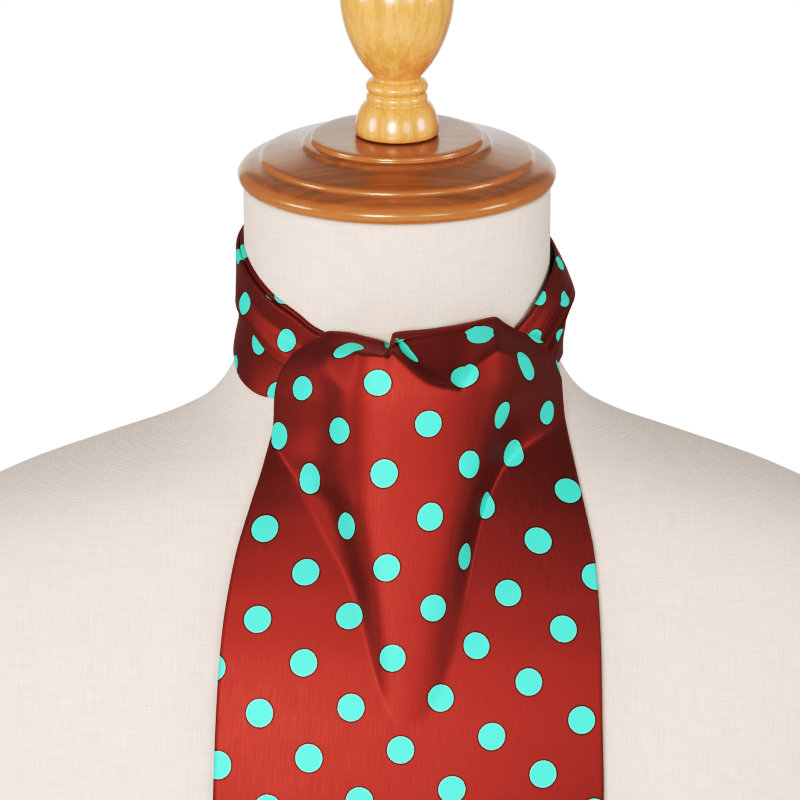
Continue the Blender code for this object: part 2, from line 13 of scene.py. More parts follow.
import bmesh
import bpy
import numpy as np
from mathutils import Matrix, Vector


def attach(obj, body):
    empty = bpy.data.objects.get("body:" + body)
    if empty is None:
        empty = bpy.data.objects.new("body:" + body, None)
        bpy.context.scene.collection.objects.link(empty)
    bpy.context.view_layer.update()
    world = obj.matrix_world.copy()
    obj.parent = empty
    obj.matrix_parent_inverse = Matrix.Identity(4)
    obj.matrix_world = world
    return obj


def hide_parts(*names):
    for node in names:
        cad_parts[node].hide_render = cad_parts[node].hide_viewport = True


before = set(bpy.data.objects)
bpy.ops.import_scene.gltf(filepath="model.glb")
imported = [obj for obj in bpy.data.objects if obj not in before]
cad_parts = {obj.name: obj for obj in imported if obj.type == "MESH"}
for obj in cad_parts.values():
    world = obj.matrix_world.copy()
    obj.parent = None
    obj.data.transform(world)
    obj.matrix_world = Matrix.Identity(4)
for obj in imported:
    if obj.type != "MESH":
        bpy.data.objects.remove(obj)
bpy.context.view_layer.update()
print("solids:", sorted(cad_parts))

# %% [markdown]
# ## Measures
#
# A dress form is drawn from level sections, and the cravat from distances round a leaning neck. Short
# tables with named columns are easier to alter than a list of points, so each shape below is a table and
# one smooth curve through it. All tables are in millimetres. "Forward" is the distance towards the front,
# so y is minus forward.

# %% Smooth curves through short tables
MM = 0.001


def smooth_through(knots, values):
    """A smooth curve through the knots that never overshoots between them."""
    xs, ys = np.array(knots, float), np.array(values, float)
    steps = np.diff(xs)
    slopes = np.diff(ys) / steps
    tangents = np.zeros(len(xs))
    for i in range(1, len(xs) - 1):
        if slopes[i - 1] * slopes[i] > 0:
            before, after = 2 * steps[i] + steps[i - 1], steps[i] + 2 * steps[i - 1]
            tangents[i] = (before + after) / (before / slopes[i - 1] + after / slopes[i])
    tangents[0], tangents[-1] = slopes[0], slopes[-1]

    def value(at):
        at = np.clip(np.asarray(at, float), xs[0], xs[-1])
        i = np.clip(np.searchsorted(xs, at) - 1, 0, len(xs) - 2)
        h = steps[i]
        t = (at - xs[i]) / h
        start, end = ys[i] * (1 + 2 * t) * (1 - t) ** 2, ys[i + 1] * t * t * (3 - 2 * t)
        return start + end + h * tangents[i] * t * (1 - t) ** 2 + h * tangents[i + 1] * t * t * (t - 1)

    return value


def curves_of(table, columns):
    """One smooth curve for each column, against the table's first."""
    knots, *values = zip(*table)
    return {name: smooth_through(knots, column) for name, column in zip(columns.split()[1:], values)}


def curve_of(*pairs):
    """One smooth curve through pairs of a place and its value."""
    return smooth_through(*zip(*pairs))


def ease(t):
    t = np.clip(t, 0.0, 1.0)
    return t * t * (3 - 2 * t)


def rise(t):
    """0 well before, 1 well after and a half at t = 0."""
    return 0.5 * (1 + np.tanh(t))


# %% The dress form's sections
NECK_LEAN = math.radians(9.0)
NECK_RADIUS, NECK_FOOT = 62.0, 440.0
CAP_HEIGHT, CAP_FORWARD = 520.0, 9.3
FORM = curves_of((
    (0, 150, 91, -88, 0, 2.4), (60, 155, 95, -90, 0, 2.4), (140, 168, 104, -97, 0, 2.4),
    (220, 184, 111, -104, 0, 2.4), (270, 199, 112, -108, 0, 2.4), (310, 212, 106, -110, -1, 2.4),
    (340, 216, 98, -110, -3, 2.35), (365, 207, 89, -108, -6, 2.3), (382, 188, 82, -105, -9, 2.3),
    (396, 160, 76, -101, -11, 2.3), (408, 126, 71, -96, -12, 2.25), (418, 97, 67.5, -90, -11, 2.2),
    (428, 79, 65, -82, -8, 2.1), (440, 69, 63.2, -73, -5, 2.0), (452, 64, 62.6, -66, -2.2, 2.0),
    (466, 62.2, 62.9, -61.6, 0.6, 2.0), (480, 62, 65, -59, 3.0, 2.0), (535, 62, 73.7, -50.3, 11.7, 2.0),
), "height half_width front back middle squareness")


def form_front(across, height):
    """How far forward the form's front is, or its widest chord beyond its side."""
    half, front, middle = FORM["half_width"](height), FORM["front"](height), FORM["middle"](height)
    power = FORM["squareness"](height)
    inside = np.clip(1 - (np.abs(across) / half) ** power, 0, 1)
    return middle + (front - middle) * inside ** (1 / power)


def form_inside(across, forward, height):
    """Below 1 inside the form and above 1 outside."""
    middle, power = FORM["middle"](height), FORM["squareness"](height)
    ahead = forward - middle
    reach = np.where(ahead > 0, FORM["front"](height) - middle, middle - FORM["back"](height))
    return (np.abs(across) / FORM["half_width"](height)) ** power + (np.abs(ahead) / reach) ** power


# %% The leaning neck
NEAREST, FARTHEST, HALVINGS = 30.0, 240.0, 26


def neck_axis(height):
    return CAP_FORWARD - (CAP_HEIGHT - height) * math.tan(NECK_LEAN)


def neck_point(angle, below_cap, radius):
    """A point round the neck's leaning axis. Angles are in radians and 0 is the front."""
    ahead, across = radius * np.cos(angle), radius * np.sin(angle)
    forward = CAP_FORWARD - below_cap * math.sin(NECK_LEAN) + ahead * math.cos(NECK_LEAN)
    height = CAP_HEIGHT - below_cap * math.cos(NECK_LEAN) - ahead * math.sin(NECK_LEAN)
    return across, forward, height


def form_radius(angle, below_cap):
    """The form's own radius there, square to the neck's axis, found by halving."""
    low, high = np.full(np.shape(angle), NEAREST), np.full(np.shape(angle), FARTHEST)
    for _ in range(HALVINGS):
        middle = (low + high) / 2
        inside = form_inside(*neck_point(angle, below_cap, middle)) < 1
        low, high = np.where(inside, middle, low), np.where(inside, high, middle)
    return (low + high) / 2


def in_metres(across, forward, height):
    return np.stack([across, -forward, height], axis=-1) * MM


def on_neck(degrees, down, stand):
    """Points round the neck, so far below its top and standing so far off the form."""
    angle = np.radians(degrees)
    return in_metres(*neck_point(angle, down, form_radius(angle, down) + stand))


print("neck:", round(2 * math.pi * NECK_RADIUS / 10, 1), "cm round")

# %% [markdown]
# ## Turning grids of points into meshes
#
# Every soft piece is worked out as a grid: rows run down the cloth and columns run across it. A grid can
# become an open skin or a thin closed shell. A shell is better for cloth than a Solidify modifier here,
# because its two faces can meet in one soft line at the edge, as a folded edge of doubled silk does. The
# same grid, laid flat again by a net of springs, gives the cut, and the cut is the UV map that the weave
# and the dots follow.

# %% Meshes from grids
def in_scene(name, data):
    made = bpy.data.objects.new(name, data)
    bpy.context.scene.collection.objects.link(made)
    return made


def grid_faces(rows, across):
    r, c = np.meshgrid(np.arange(rows - 1), np.arange(across - 1), indexing="ij")
    corner = r * across + c
    return np.stack([corner, corner + across, corner + across + 1, corner + 1], -1).reshape(-1, 4)


def mesh_piece(name, points, faces, material, uv=None):
    """A smooth mesh object from points in metres, with one UV pair for each point if given."""
    mesh = bpy.data.meshes.new(name)
    mesh.from_pydata(np.asarray(points).tolist(), [], np.asarray(faces).tolist())
    if uv is not None:
        corner = np.zeros(len(mesh.loops), np.int32)
        mesh.loops.foreach_get("vertex_index", corner)
        layer = mesh.uv_layers.new(name="Cut")
        layer.data.foreach_set("uv", np.asarray(uv, np.float32)[corner].ravel())
    mesh.shade_smooth()
    mesh.materials.append(material)
    return in_scene(name, mesh)


# %% Thin shells of cloth
TINY = 1e-12


def grid_normals(points):
    normal = np.cross(np.gradient(points, axis=0), np.gradient(points, axis=1))
    return normal / np.maximum(np.linalg.norm(normal, axis=-1, keepdims=True), TINY)


def cloth_shell(name, outer, wall, material, uv):
    """A thin closed shell whose two faces meet in a soft line at the cloth's edges."""
    rows, across = outer.shape[:2]
    normal = grid_normals(outer)
    depth = np.zeros((rows, across, 1))
    depth[[0, -1], :] = depth[:, [0, -1]] = wall / 2
    face = outer - normal * depth
    behind = outer - normal * wall
    back_index = np.arange(rows * across).reshape(rows, across)
    back_index[1:-1, 1:-1] = rows * across + np.arange((rows - 2) * (across - 2)).reshape(rows - 2, -1)
    front_faces = grid_faces(rows, across)
    back_faces = back_index.ravel()[front_faces][:, ::-1]
    points = np.concatenate([face.reshape(-1, 3), behind[1:-1, 1:-1].reshape(-1, 3)])
    flat = np.concatenate([uv.reshape(-1, 2), uv[1:-1, 1:-1].reshape(-1, 2)])
    return mesh_piece(name, points, np.concatenate([front_faces, back_faces]), material, flat)


# %% Laying a folded cloth flat again
THREAD_PULL, BIAS_PULL, HURRY = 1.0, 0.7, 1.6
ROUNDS, COARSE_FROM, COARSE_STEP = 700, 40, 3


def spring_sets(points):
    """The net's threads: along each row, down each column and both ways across each cell."""
    whole, first, last = slice(None), slice(1, None), slice(None, -1)
    sets = (((whole, first), (whole, last), THREAD_PULL), ((first, whole), (last, whole), THREAD_PULL),
            ((first, first), (last, last), BIAS_PULL), ((first, last), (last, first), BIAS_PULL))
    return [(a, b, pull, np.linalg.norm(points[a] - points[b], axis=-1)) for a, b, pull in sets]


def relax(points, cut, rounds):
    """Moves the cut's points until each thread is as long flat as it is on the folded cloth."""
    sets = spring_sets(points)
    for _ in range(rounds):
        move = np.zeros_like(cut)
        pulls = np.zeros(cut.shape[:2] + (1,))
        for a, b, pull, length in sets:
            thread = cut[a] - cut[b]
            now = np.linalg.norm(thread, axis=-1) + TINY
            shift = (0.5 * pull * (1 - length / now))[..., None] * thread
            move[a] -= shift
            move[b] += shift
            pulls[a] += pull
            pulls[b] += pull
        cut = cut + move / pulls * HURRY
    return cut


def rough_cut(points):
    """How far each point lies from the middle column, and how far down that column its row lies."""
    middle = points.shape[1] // 2
    across = np.linalg.norm(np.diff(points, axis=1), axis=-1)
    down = np.linalg.norm(np.diff(points[:, middle], axis=0), axis=-1)
    u = np.concatenate([np.zeros((len(points), 1)), np.cumsum(across, 1)], 1)
    v = np.concatenate([[0.0], np.cumsum(down)])
    return np.stack([u - u[:, middle:middle + 1], np.broadcast_to(v[:, None], u.shape)], -1)


def flat_cut(points):
    """The cloth's cut, in metres. A coarse net settles first and a fine one after."""
    cut = rough_cut(points)
    if min(points.shape[:2]) <= COARSE_FROM:
        return relax(points, cut, ROUNDS)
    height, width = points.shape[:2]
    rows, columns = (np.unique(np.append(np.arange(0, n, COARSE_STEP), n - 1)) for n in (height, width))
    coarse = cut[rows][:, columns]
    shift = relax(points[rows][:, columns], coarse, 2 * ROUNDS) - coarse
    wide = [[np.interp(np.arange(width), columns, row[:, k]) for row in shift] for k in (0, 1)]
    full = [[np.interp(np.arange(height), rows, column) for column in np.transpose(part)] for part in wide]
    return relax(points, cut + np.transpose(full, (2, 1, 0)), ROUNDS // 3)


print("a cut settles in", ROUNDS, "rounds")

# %% [markdown]
# ## Materials
#
# Blender's Principled shader covers silk, linen and varnished wood. What makes each one read as itself is
# the pattern that drives its colour, roughness and bump. The patterns on cloth follow the cut (the UV map,
# in metres), so a thread keeps its width wherever the cloth is folded. The woods follow Object coordinates,
# because turned wood is cut from one block and its grain runs straight through it.

# %% A short way to write shader trees
def new_material(name, base, **sockets):
    made = bpy.data.materials.new(name)
    made.use_nodes = True
    shader = made.node_tree.nodes["Principled BSDF"]
    shader.inputs["Base Color"].default_value = (*base, 1.0)
    for socket, value in sockets.items():
        shader.inputs[socket.replace("_", " ")].default_value = value
    return made, made.node_tree


def drive(tree, **sockets):
    """Links patterns to the shader's sockets."""
    for socket, pattern in sockets.items():
        tree.links.new(pattern, tree.nodes["Principled BSDF"].inputs[socket.replace("_", " ")])


def node(tree, kind, inputs=None, **settings):
    """Adds a node, sets its properties, and links or sets its inputs by name or by number."""
    made = tree.nodes.new(kind)
    for key, value in settings.items():
        setattr(made, key, value)
    for key, value in (inputs or {}).items():
        socket = made.inputs[key]
        if isinstance(value, bpy.types.NodeSocket):
            tree.links.new(value, socket)
        else:
            socket.default_value = value
    return made


def maths(tree, operation, *values):
    return node(tree, "ShaderNodeMath", dict(enumerate(values)), operation=operation).outputs[0]


def vector_maths(tree, operation, *values):
    made = node(tree, "ShaderNodeVectorMath", dict(enumerate(values)), operation=operation)
    return made.outputs["Value" if operation == "LENGTH" else "Vector"]


def between(tree, value, low, high, to_low=0.0, to_high=1.0):
    """A soft step of the value between low and high."""
    ends = {0: value, 1: low, 2: high, 3: to_low, 4: to_high}
    return node(tree, "ShaderNodeMapRange", ends, interpolation_type="SMOOTHSTEP").outputs[0]


def mix(tree, share, first, second):
    made = node(tree, "ShaderNodeMix", data_type="RGBA")
    for socket, value in (("Factor", share), ("A", first), ("B", second)):
        target = next(s for s in made.inputs if s.name == socket and s.enabled)
        if isinstance(value, bpy.types.NodeSocket):
            tree.links.new(value, target)
        else:
            target.default_value = value if socket == "Factor" else (*value, 1.0)
    return next(s for s in made.outputs if s.enabled)


def streaks(tree, where, scale, detail):
    """Noise stretched along a thread or the grain."""
    placed = node(tree, "ShaderNodeMapping", {"Vector": where, "Scale": scale}).outputs[0]
    return node(tree, "ShaderNodeTexNoise", {"Vector": placed, "Scale": 1.0, "Detail": detail,
                                             "Roughness": 0.6}).outputs[0]


def bump(tree, height, distance, strength):
    inputs = {"Height": height, "Distance": distance, "Strength": strength}
    return node(tree, "ShaderNodeBump", inputs).outputs[0]


def tint(colour, share):
    return tuple(min(c * share, 1.0) for c in colour)


def shaded(tree, pattern, colour, shares):
    """The colour, darker and lighter as the pattern says."""
    return mix(tree, pattern, *(tint(colour, share) for share in shares))


def along_cut(tree):
    return node(tree, "ShaderNodeUVMap", uv_map="Cut").outputs[0]


def through_block(tree):
    return node(tree, "ShaderNodeTexCoord").outputs["Object"]


print("shader helpers are ready")

# %% [markdown]
# ## Dotted silk
#
# The dots are woven or printed in a centred square repeat: rows of dots 36 mm apart, with the next row set
# half a step along. Image textures aren't needed: the nearest corner of one square grid, or of a second
# grid shifted by half a square, gives the distance to the nearest dot. A pale thread line just inside each
# dot and a dark one just outside it come from the same distance. Each stretch of cloth turns and shifts the
# repeat to suit its own cut. Satin shines in the colour of its own threads, as a metal does, so the red
# ground is mostly metallic, with its roughness streaked along the warp. The dots are less so.

# %% The silk's measures
DOT_REPEAT, DOT_RADIUS, DOT_WOBBLE = 36.0, 5.25, 0.34
# Distances past a dot's edge between which the dot, its pale line and its dark rim start or end.
DOT_ENDS, LINE_STARTS = (-0.08, 0.10), (-0.50, -0.34)
RIM_STARTS, RIM_ENDS = (0.02, 0.16), (0.40, 0.70)
SILK_RED, SILK_DEEP, DOT_RIM = (0.235, 0.045, 0.034), (0.30, 0.012, 0.012), (0.045, 0.010, 0.010)
DOT_GREEN, DOT_LINE = (0.115, 0.73, 0.56), (0.26, 0.68, 0.56)
# Streaks to the metre, across the cloth and down it.
WARP, WEFT, CLOUDS, FRAY = (2600, 90, 1), (500, 2400, 1), (60, 25, 1), (1400, 1400, 1)
# How dark and how light the warp threads are beside their own colour.
RED_THREADS, GREEN_THREADS = (0.80, 1.22), (0.90, 1.08)
DEEP_SHOWS, RIM_SHOWS, LINE_SHOWS = 0.12, 0.85, 0.6
METALLIC_RED, METALLIC_DOT = 0.80, 0.15
WARP_ENDS, SILK_ROUGH = (0.25, 0.75), (0.44, 0.55)
# How far the weft and the dots stand up beside the warp, and the bump's depth in metres and its strength.
WEFT_RISE, DOT_RISE, SILK_BUMP = 0.35, 0.35, (0.00006, 0.8)


# %% The silk's finish
def nearest_dot(tree, place):
    """The distance to the nearest dot's middle, in millimetres."""
    cells = 1 / (DOT_REPEAT * MM)
    reach = []
    for half_step in (0.0, 0.5):
        cell = vector_maths(tree, "MULTIPLY_ADD", place, (cells, cells, 0), (half_step, half_step, 0))
        from_middle = vector_maths(tree, "SUBTRACT", vector_maths(tree, "FRACTION", cell), (0.5, 0.5, 0))
        reach.append(vector_maths(tree, "LENGTH", from_middle))
    return maths(tree, "MULTIPLY", maths(tree, "MINIMUM", *reach), DOT_REPEAT)


def silk(name, turn, shift):
    made, tree = new_material(name, SILK_RED, Roughness=0.52, Specular_IOR_Level=0.25)
    cut = along_cut(tree)
    repeat = node(tree, "ShaderNodeMapping",
                  {"Vector": cut, "Location": (*shift, 0), "Rotation": (0, 0, turn)}).outputs[0]
    fray = maths(tree, "SUBTRACT", streaks(tree, cut, FRAY, 1.0), 0.5)
    from_dot = maths(tree, "MULTIPLY_ADD", fray, DOT_WOBBLE, nearest_dot(tree, repeat))

    def past_edge(ends, *shown):
        return between(tree, from_dot, DOT_RADIUS + ends[0], DOT_RADIUS + ends[1], *shown)

    dot = past_edge(DOT_ENDS, 1.0, 0.0)
    line = maths(tree, "MULTIPLY", past_edge(LINE_STARTS), dot)
    rim = maths(tree, "MULTIPLY", past_edge(RIM_STARTS), past_edge(RIM_ENDS, 1.0, 0.0))
    warp, weft = streaks(tree, cut, WARP, 4.0), streaks(tree, cut, WEFT, 2.0)
    ground = shaded(tree, warp, SILK_RED, RED_THREADS)
    ground = mix(tree, streaks(tree, cut, CLOUDS, 2.0), mix(tree, DEEP_SHOWS, ground, SILK_DEEP), ground)
    ground = mix(tree, maths(tree, "MULTIPLY", rim, RIM_SHOWS), ground, DOT_RIM)
    green = shaded(tree, warp, DOT_GREEN, GREEN_THREADS)
    green = mix(tree, maths(tree, "MULTIPLY", line, LINE_SHOWS), green, DOT_LINE)
    threads = maths(tree, "MULTIPLY_ADD", weft, WEFT_RISE, warp)
    raised = maths(tree, "MULTIPLY_ADD", dot, DOT_RISE, threads)
    drive(tree, Base_Color=mix(tree, dot, ground, green),
          Metallic=between(tree, dot, 0.0, 1.0, METALLIC_RED, METALLIC_DOT),
          Roughness=between(tree, warp, *WARP_ENDS, *SILK_ROUGH), Normal=bump(tree, raised, *SILK_BUMP))
    return made


print("dots:", DOT_RADIUS * 2, "mm across, repeat", DOT_REPEAT, "mm")

# %% [markdown]
# ## Linen and varnished wood
#
# Form linen is a plain weave with slubs, which are the thicker stretches of a hand-like yarn. Two sets of
# threads at right angles, each with long noise for its slubs, look truer than a checker. The wooden cap and
# knob are turned beech under a red-brown and a honey varnish. Their grain is stretched noise with growth
# rings, and the gloss comes from a clear coat over wood that is rougher below. The cap's three rims carry a
# painted highlight, a paler colour where their edges catch the light: the distance from the cap's axis says
# how near a rim is.

# %% Linen for the cover
LINEN, LINEN_GAPS, LINEN_CLOUDS = (0.785, 0.672, 0.592), (0.45, 0.36, 0.29), (0.62, 0.52, 0.44)
LINEN_THREADS = 340.0
SLUBS = (("X", (1500, 70, 1)), ("Y", (70, 1500, 1)))
LINEN_SHADES, LINEN_BUMP, UNEVEN = (0.91, 1.05), (0.00012, 0.7), (14, 14, 1)
GAPS_SHOW, CLOUDS_SHOW = 0.10, 0.05
# The values between which slubs, gaps and clouds come in.
SLUB_ENDS, GAP_ENDS, CLOUD_ENDS = (0.35, 0.66), (0.15, 0.75), (0.3, 0.7)


def linen():
    made, tree = new_material("natural linen", LINEN, Roughness=0.88, Sheen_Weight=0.12,
                              Sheen_Roughness=0.5, Specular_IOR_Level=0.25)
    cut = along_cut(tree)
    yarn = {"Vector": cut, "Scale": LINEN_THREADS, "Distortion": 0.8, "Detail": 1.0, "Detail Scale": 2.0}
    slubs, threads = [], []
    for direction, scale in SLUBS:
        wave = node(tree, "ShaderNodeTexWave", yarn, bands_direction=direction)
        slubs.append(streaks(tree, cut, scale, 3.0))
        threads.append(maths(tree, "MULTIPLY", wave.outputs["Fac"], slubs[-1]))
    weave = maths(tree, "ADD", *threads)
    thick = between(tree, maths(tree, "MULTIPLY", maths(tree, "ADD", *slubs), 0.5), *SLUB_ENDS)
    shade = shaded(tree, thick, LINEN, LINEN_SHADES)
    shade = mix(tree, between(tree, weave, *GAP_ENDS), mix(tree, GAPS_SHOW, shade, LINEN_GAPS), shade)
    cloud = between(tree, streaks(tree, cut, UNEVEN, 3.0), *CLOUD_ENDS)
    shade = mix(tree, cloud, mix(tree, CLOUDS_SHOW, shade, LINEN_CLOUDS), shade)
    drive(tree, Base_Color=shade, Normal=bump(tree, weave, *LINEN_BUMP))
    return made


# %% Varnished wood for the cap and the knob
RING_SCALE, PORE_SCALE = 0.35, 3.2
FIBRE_SHARE, RING_SHARE, PORE_SHADE, PORES_SHOW = 0.55, 0.45, 0.45, 0.35
GRAIN_ENDS, PORE_ENDS, GLOSS_ENDS = (0.36, 0.64), (0.62, 0.72), (0.3, 0.7)
WOOD_ROUGH, WOOD_BUMP = (0.30, 0.42), (0.00004, 0.5)
# Painted highlight on the cap's rims: its pale colour, how much of it shows, and the share of each reach
# where it is full.
RIM_HIGHLIGHT_COLOUR, RIM_HIGHLIGHT_SHOWS, RIM_HIGHLIGHT_FULL = (0.48, 0.205, 0.064), 0.62, 0.3
CAP_RIMS = ((34.5, 1.2), (54.9, 1.5), (64.0, 2.8))


def paint_rim_highlights(tree, block, colour):
    """The colour with a painted highlight near each of the cap's rims, which are told by their distance from
    its axis.
    """
    upright = node(tree, "ShaderNodeMapping",
                   {"Vector": block, "Rotation": (NECK_LEAN, 0, 0),
                    "Location": (0, -CAP_FORWARD * MM, CAP_HEIGHT * MM)}, vector_type="TEXTURE").outputs[0]
    from_axis = vector_maths(tree, "LENGTH", vector_maths(tree, "MULTIPLY", upright, (1 / MM, 1 / MM, 0)))
    for rim, reach in CAP_RIMS:
        from_rim = maths(tree, "ABSOLUTE", maths(tree, "SUBTRACT", from_axis, rim))
        colour = mix(tree, between(tree, from_rim, reach * RIM_HIGHLIGHT_FULL, reach, RIM_HIGHLIGHT_SHOWS, 0.0), colour, RIM_HIGHLIGHT_COLOUR)
    return colour


def varnished_wood(name, dark, light, grain, with_rim_highlights=False):
    """Grain is how much the pattern is stretched along each axis of the block."""
    made, tree = new_material(name, light, Roughness=0.34, Coat_Weight=0.85, Coat_Roughness=0.15)
    block = through_block(tree)
    fibre = streaks(tree, block, grain, 6.0)
    placed = node(tree, "ShaderNodeMapping", {"Vector": block, "Scale": tuple(g * RING_SCALE for g in grain)})
    rings = node(tree, "ShaderNodeTexNoise", {"Vector": placed.outputs[0], "Scale": 1.0, "Detail": 2.0,
                                              "Distortion": 0.6}).outputs[0]
    pores = streaks(tree, block, tuple(g * PORE_SCALE for g in grain), 1.0)
    tone = maths(tree, "ADD", maths(tree, "MULTIPLY", fibre, FIBRE_SHARE),
                 maths(tree, "MULTIPLY", rings, RING_SHARE))
    colour = mix(tree, between(tree, tone, *GRAIN_ENDS), dark, light)
    pored = between(tree, pores, *PORE_ENDS, 0.0, PORES_SHOW)
    colour = mix(tree, pored, colour, tint(dark, PORE_SHADE))
    # A painted highlight along the cap's rims, paler where their edges catch the light.
    if with_rim_highlights:
        colour = paint_rim_highlights(tree, block, colour)
    drive(tree, Base_Color=colour, Roughness=between(tree, fibre, *GLOSS_ENDS, *WOOD_ROUGH),
          Normal=bump(tree, fibre, *WOOD_BUMP))
    return made


# %% Sewing thread, and all the finishes
THREAD_TWIST, THREAD_SHADE, THREAD_BUMP = 900.0, 0.8, (0.00005, 0.8)


def sewing_thread(name, colour):
    made, tree = new_material(name, colour, Roughness=0.6, Sheen_Weight=0.3)
    yarn = {"Vector": through_block(tree), "Scale": THREAD_TWIST, "Distortion": 1.5}
    twist = node(tree, "ShaderNodeTexWave", yarn, bands_direction="DIAGONAL").outputs["Fac"]
    drive(tree, Base_Color=mix(tree, twist, tint(colour, THREAD_SHADE), colour),
          Normal=bump(tree, twist, *THREAD_BUMP))
    return made


linen_finish = linen()
# The cap's finish carries the painted highlight on its rims.
cap_finish = varnished_wood("red-brown varnished wood", (0.250, 0.095, 0.024), (0.345, 0.145, 0.039),
                            (30, 600, 600), with_rim_highlights=True)
knob_finish = varnished_wood("honey varnished wood", (0.71, 0.310, 0.110), (0.86, 0.415, 0.170),
                             (600, 600, 40))
silk_thread = sewing_thread("red silk thread", (0.34, 0.03, 0.022))
linen_thread = sewing_thread("linen thread", (0.70, 0.62, 0.54))
print("finishes:", [material.name for material in bpy.data.materials])

# %% [markdown]
# ## The linen cover of the form
#
# A half form is a moulded shell with a fitted linen cover pulled tight over it, so its skin has no folds:
# only the weave, and one seam at the centre back where the cover is closed. A subdivided copy of the solid
# would round off the sections, so the skin is drawn again from the sections' table with finer rings. Rings
# tip forward with the neck, and the last lies in the plane of the wooden cap.

# %% The cover's skin
COVER_SEGMENTS, RING_ROUNDS = 160, 12
# Where each stretch of rings starts and ends, and how many it has.
COVER_RINGS = ((CAP_HEIGHT, 396, 50), (392, 300, 32), (292, 6, 44))
# How much the lowest rings are drawn in, to round the bottom edge.
BASE_ROUNDING = {2.5: 0.996, 0.8: 0.989, 0.0: 0.98}
SEAM_DIP, SEAM_REACH, SEAM_BACK = 0.55, 1.6, 60.0
END_RINGS, END_CUT = (0.96, 0.6, 0.001), 0.03


def form_ring(height, angles):
    tip = math.tan(NECK_LEAN) * float(ease((height - NECK_FOOT) / (CAP_HEIGHT - NECK_FOOT)))
    level = np.full(angles.shape, float(height))
    for _ in range(RING_ROUNDS):
        power, middle = FORM["squareness"](level), FORM["middle"](level)
        reach = np.where(np.cos(angles) > 0, FORM["front"](level) - middle, middle - FORM["back"](level))
        across = FORM["half_width"](level) * np.sign(np.sin(angles)) * np.abs(np.sin(angles)) ** (2 / power)
        forward = middle + reach * np.sign(np.cos(angles)) * np.abs(np.cos(angles)) ** (2 / power)
        level = height - tip * (forward - neck_axis(height))
    return across, forward, level


def cover_skin():
    """Rings from the neck's top to the base, with the ends drawn in to a disc."""
    angles = np.linspace(-math.pi, math.pi, COVER_SEGMENTS + 1)
    heights = np.concatenate([np.linspace(*stretch) for stretch in COVER_RINGS] + [list(BASE_ROUNDING)])
    rings = []
    for height in heights:
        across, forward, level = form_ring(height, angles)
        inset = BASE_ROUNDING.get(height, 1.0)
        dip = np.where(forward < 0, SEAM_DIP / SEAM_BACK * np.exp(-(across / SEAM_REACH) ** 2), 0)
        rings.append(in_metres(across * inset, forward * inset * (1 - dip), level))
    skin = np.array(rings)
    cut = rough_cut(skin) * (1, -1)
    ends = []
    for ring, flat, side in ((skin[0], cut[0], 1), (skin[-1], cut[-1], -1)):
        centre = ring[:-1].mean(0)
        ends.append([(centre + (ring - centre) * share, flat + (0, side * END_CUT * (1 - share)))
                     for share in END_RINGS])
    points, flat = zip(*ends[0][::-1], *zip(skin, cut), *ends[1])
    return np.array(points), np.array(flat)


# %% Joining doubled points
JOIN_WITHIN = 0.00001


def joined(piece):
    """Joins a piece's doubled points, closes its ends and turns its faces outwards."""
    work = bmesh.new()
    work.from_mesh(piece.data)
    bmesh.ops.remove_doubles(work, verts=work.verts[:], dist=JOIN_WITHIN)
    bmesh.ops.holes_fill(work, edges=[e for e in work.edges if e.is_boundary], sides=0)
    bmesh.ops.recalc_face_normals(work, faces=work.faces[:])
    work.to_mesh(piece.data)
    work.free()
    piece.data.shade_smooth()
    return piece


# %% [markdown]
# ## Putting a piece on its solid
#
# Each finished piece is tied to the rigid model in two ways. It rides on the one body, and it replaces the
# plain solid that stands for it. Its size as it lies and its number of faces are printed.

# %% Fitting a piece, and first the cover
def fit(piece, slot, *solids):
    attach(piece, "root")
    if solids:
        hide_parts(*solids)
    size = np.ptp([vertex.co for vertex in piece.data.vertices], axis=0) / MM
    print(f"{piece.name}: {[round(side) for side in size]} mm, {len(piece.data.polygons)} faces")


skin, skin_cut = cover_skin()
cover = mesh_piece("linen_cover", skin.reshape(-1, 3), grid_faces(*skin.shape[:2]), linen_finish,
                   skin_cut.reshape(-1, 2))
fit(joined(cover), "linen", "form_body")

# %% [markdown]
# ## Turned cap and knob
#
# A wood turner holds a profile against a spinning block, and Blender's Screw modifier does the same: a
# profile in the XZ plane is swept round Z. The solids have every step of the profile. Here the same points
# are joined by small rounded corners, as a chisel and sandpaper leave them, and the turned mesh is then
# tipped onto the leaning neck.

# %% Profiles, as radius and height
CAP_PROFILE = (
    (0.0, 19.4), (33.2, 19.4), (34.3, 19.1), (34.7, 18.3), (34.7, 17.2), (35.6, 17.0), (37.4, 16.8),
    (38.2, 16.0), (38.6, 15.1), (46.0, 13.5), (52.4, 12.1), (54.2, 11.6), (55.0, 10.8), (55.1, 9.9),
    (57.0, 9.1), (60.0, 8.2), (62.6, 6.7), (64.2, 4.6), (64.3, 3.0), (63.6, 1.2), (62.0, 0.0), (0.0, 0.0),
)
FINIAL_PROFILE = (
    (0.0, 102.0), (6.0, 101.3), (12.0, 98.4), (17.6, 92.6), (21.4, 85.4), (23.0, 78.5), (22.9, 74.0),
    (22.1, 68.5), (20.6, 62.5), (18.4, 56.8), (15.2, 50.6), (11.8, 46.2), (9.6, 43.8), (9.5, 42.8),
    (11.2, 42.2), (12.5, 40.6), (12.6, 39.0), (11.7, 37.6), (11.4, 37.0), (12.2, 36.4), (12.4, 34.6),
    (12.0, 33.4), (13.2, 32.8), (14.9, 30.6), (16.2, 27.2), (17.1, 23.0), (16.9, 20.6), (16.2, 19.7),
    (0.0, 19.7),
)
print("cap:", 2 * max(CAP_PROFILE)[0], "mm across, knob:", 2 * max(FINIAL_PROFILE)[0], "mm across")

# %% Turning on the neck's axis
TURN_STEPS, SHARP_FROM = 144, math.radians(60)
SEAM_GAP, CORNER_CUT, CUTS = 0.3, 0.25, 2


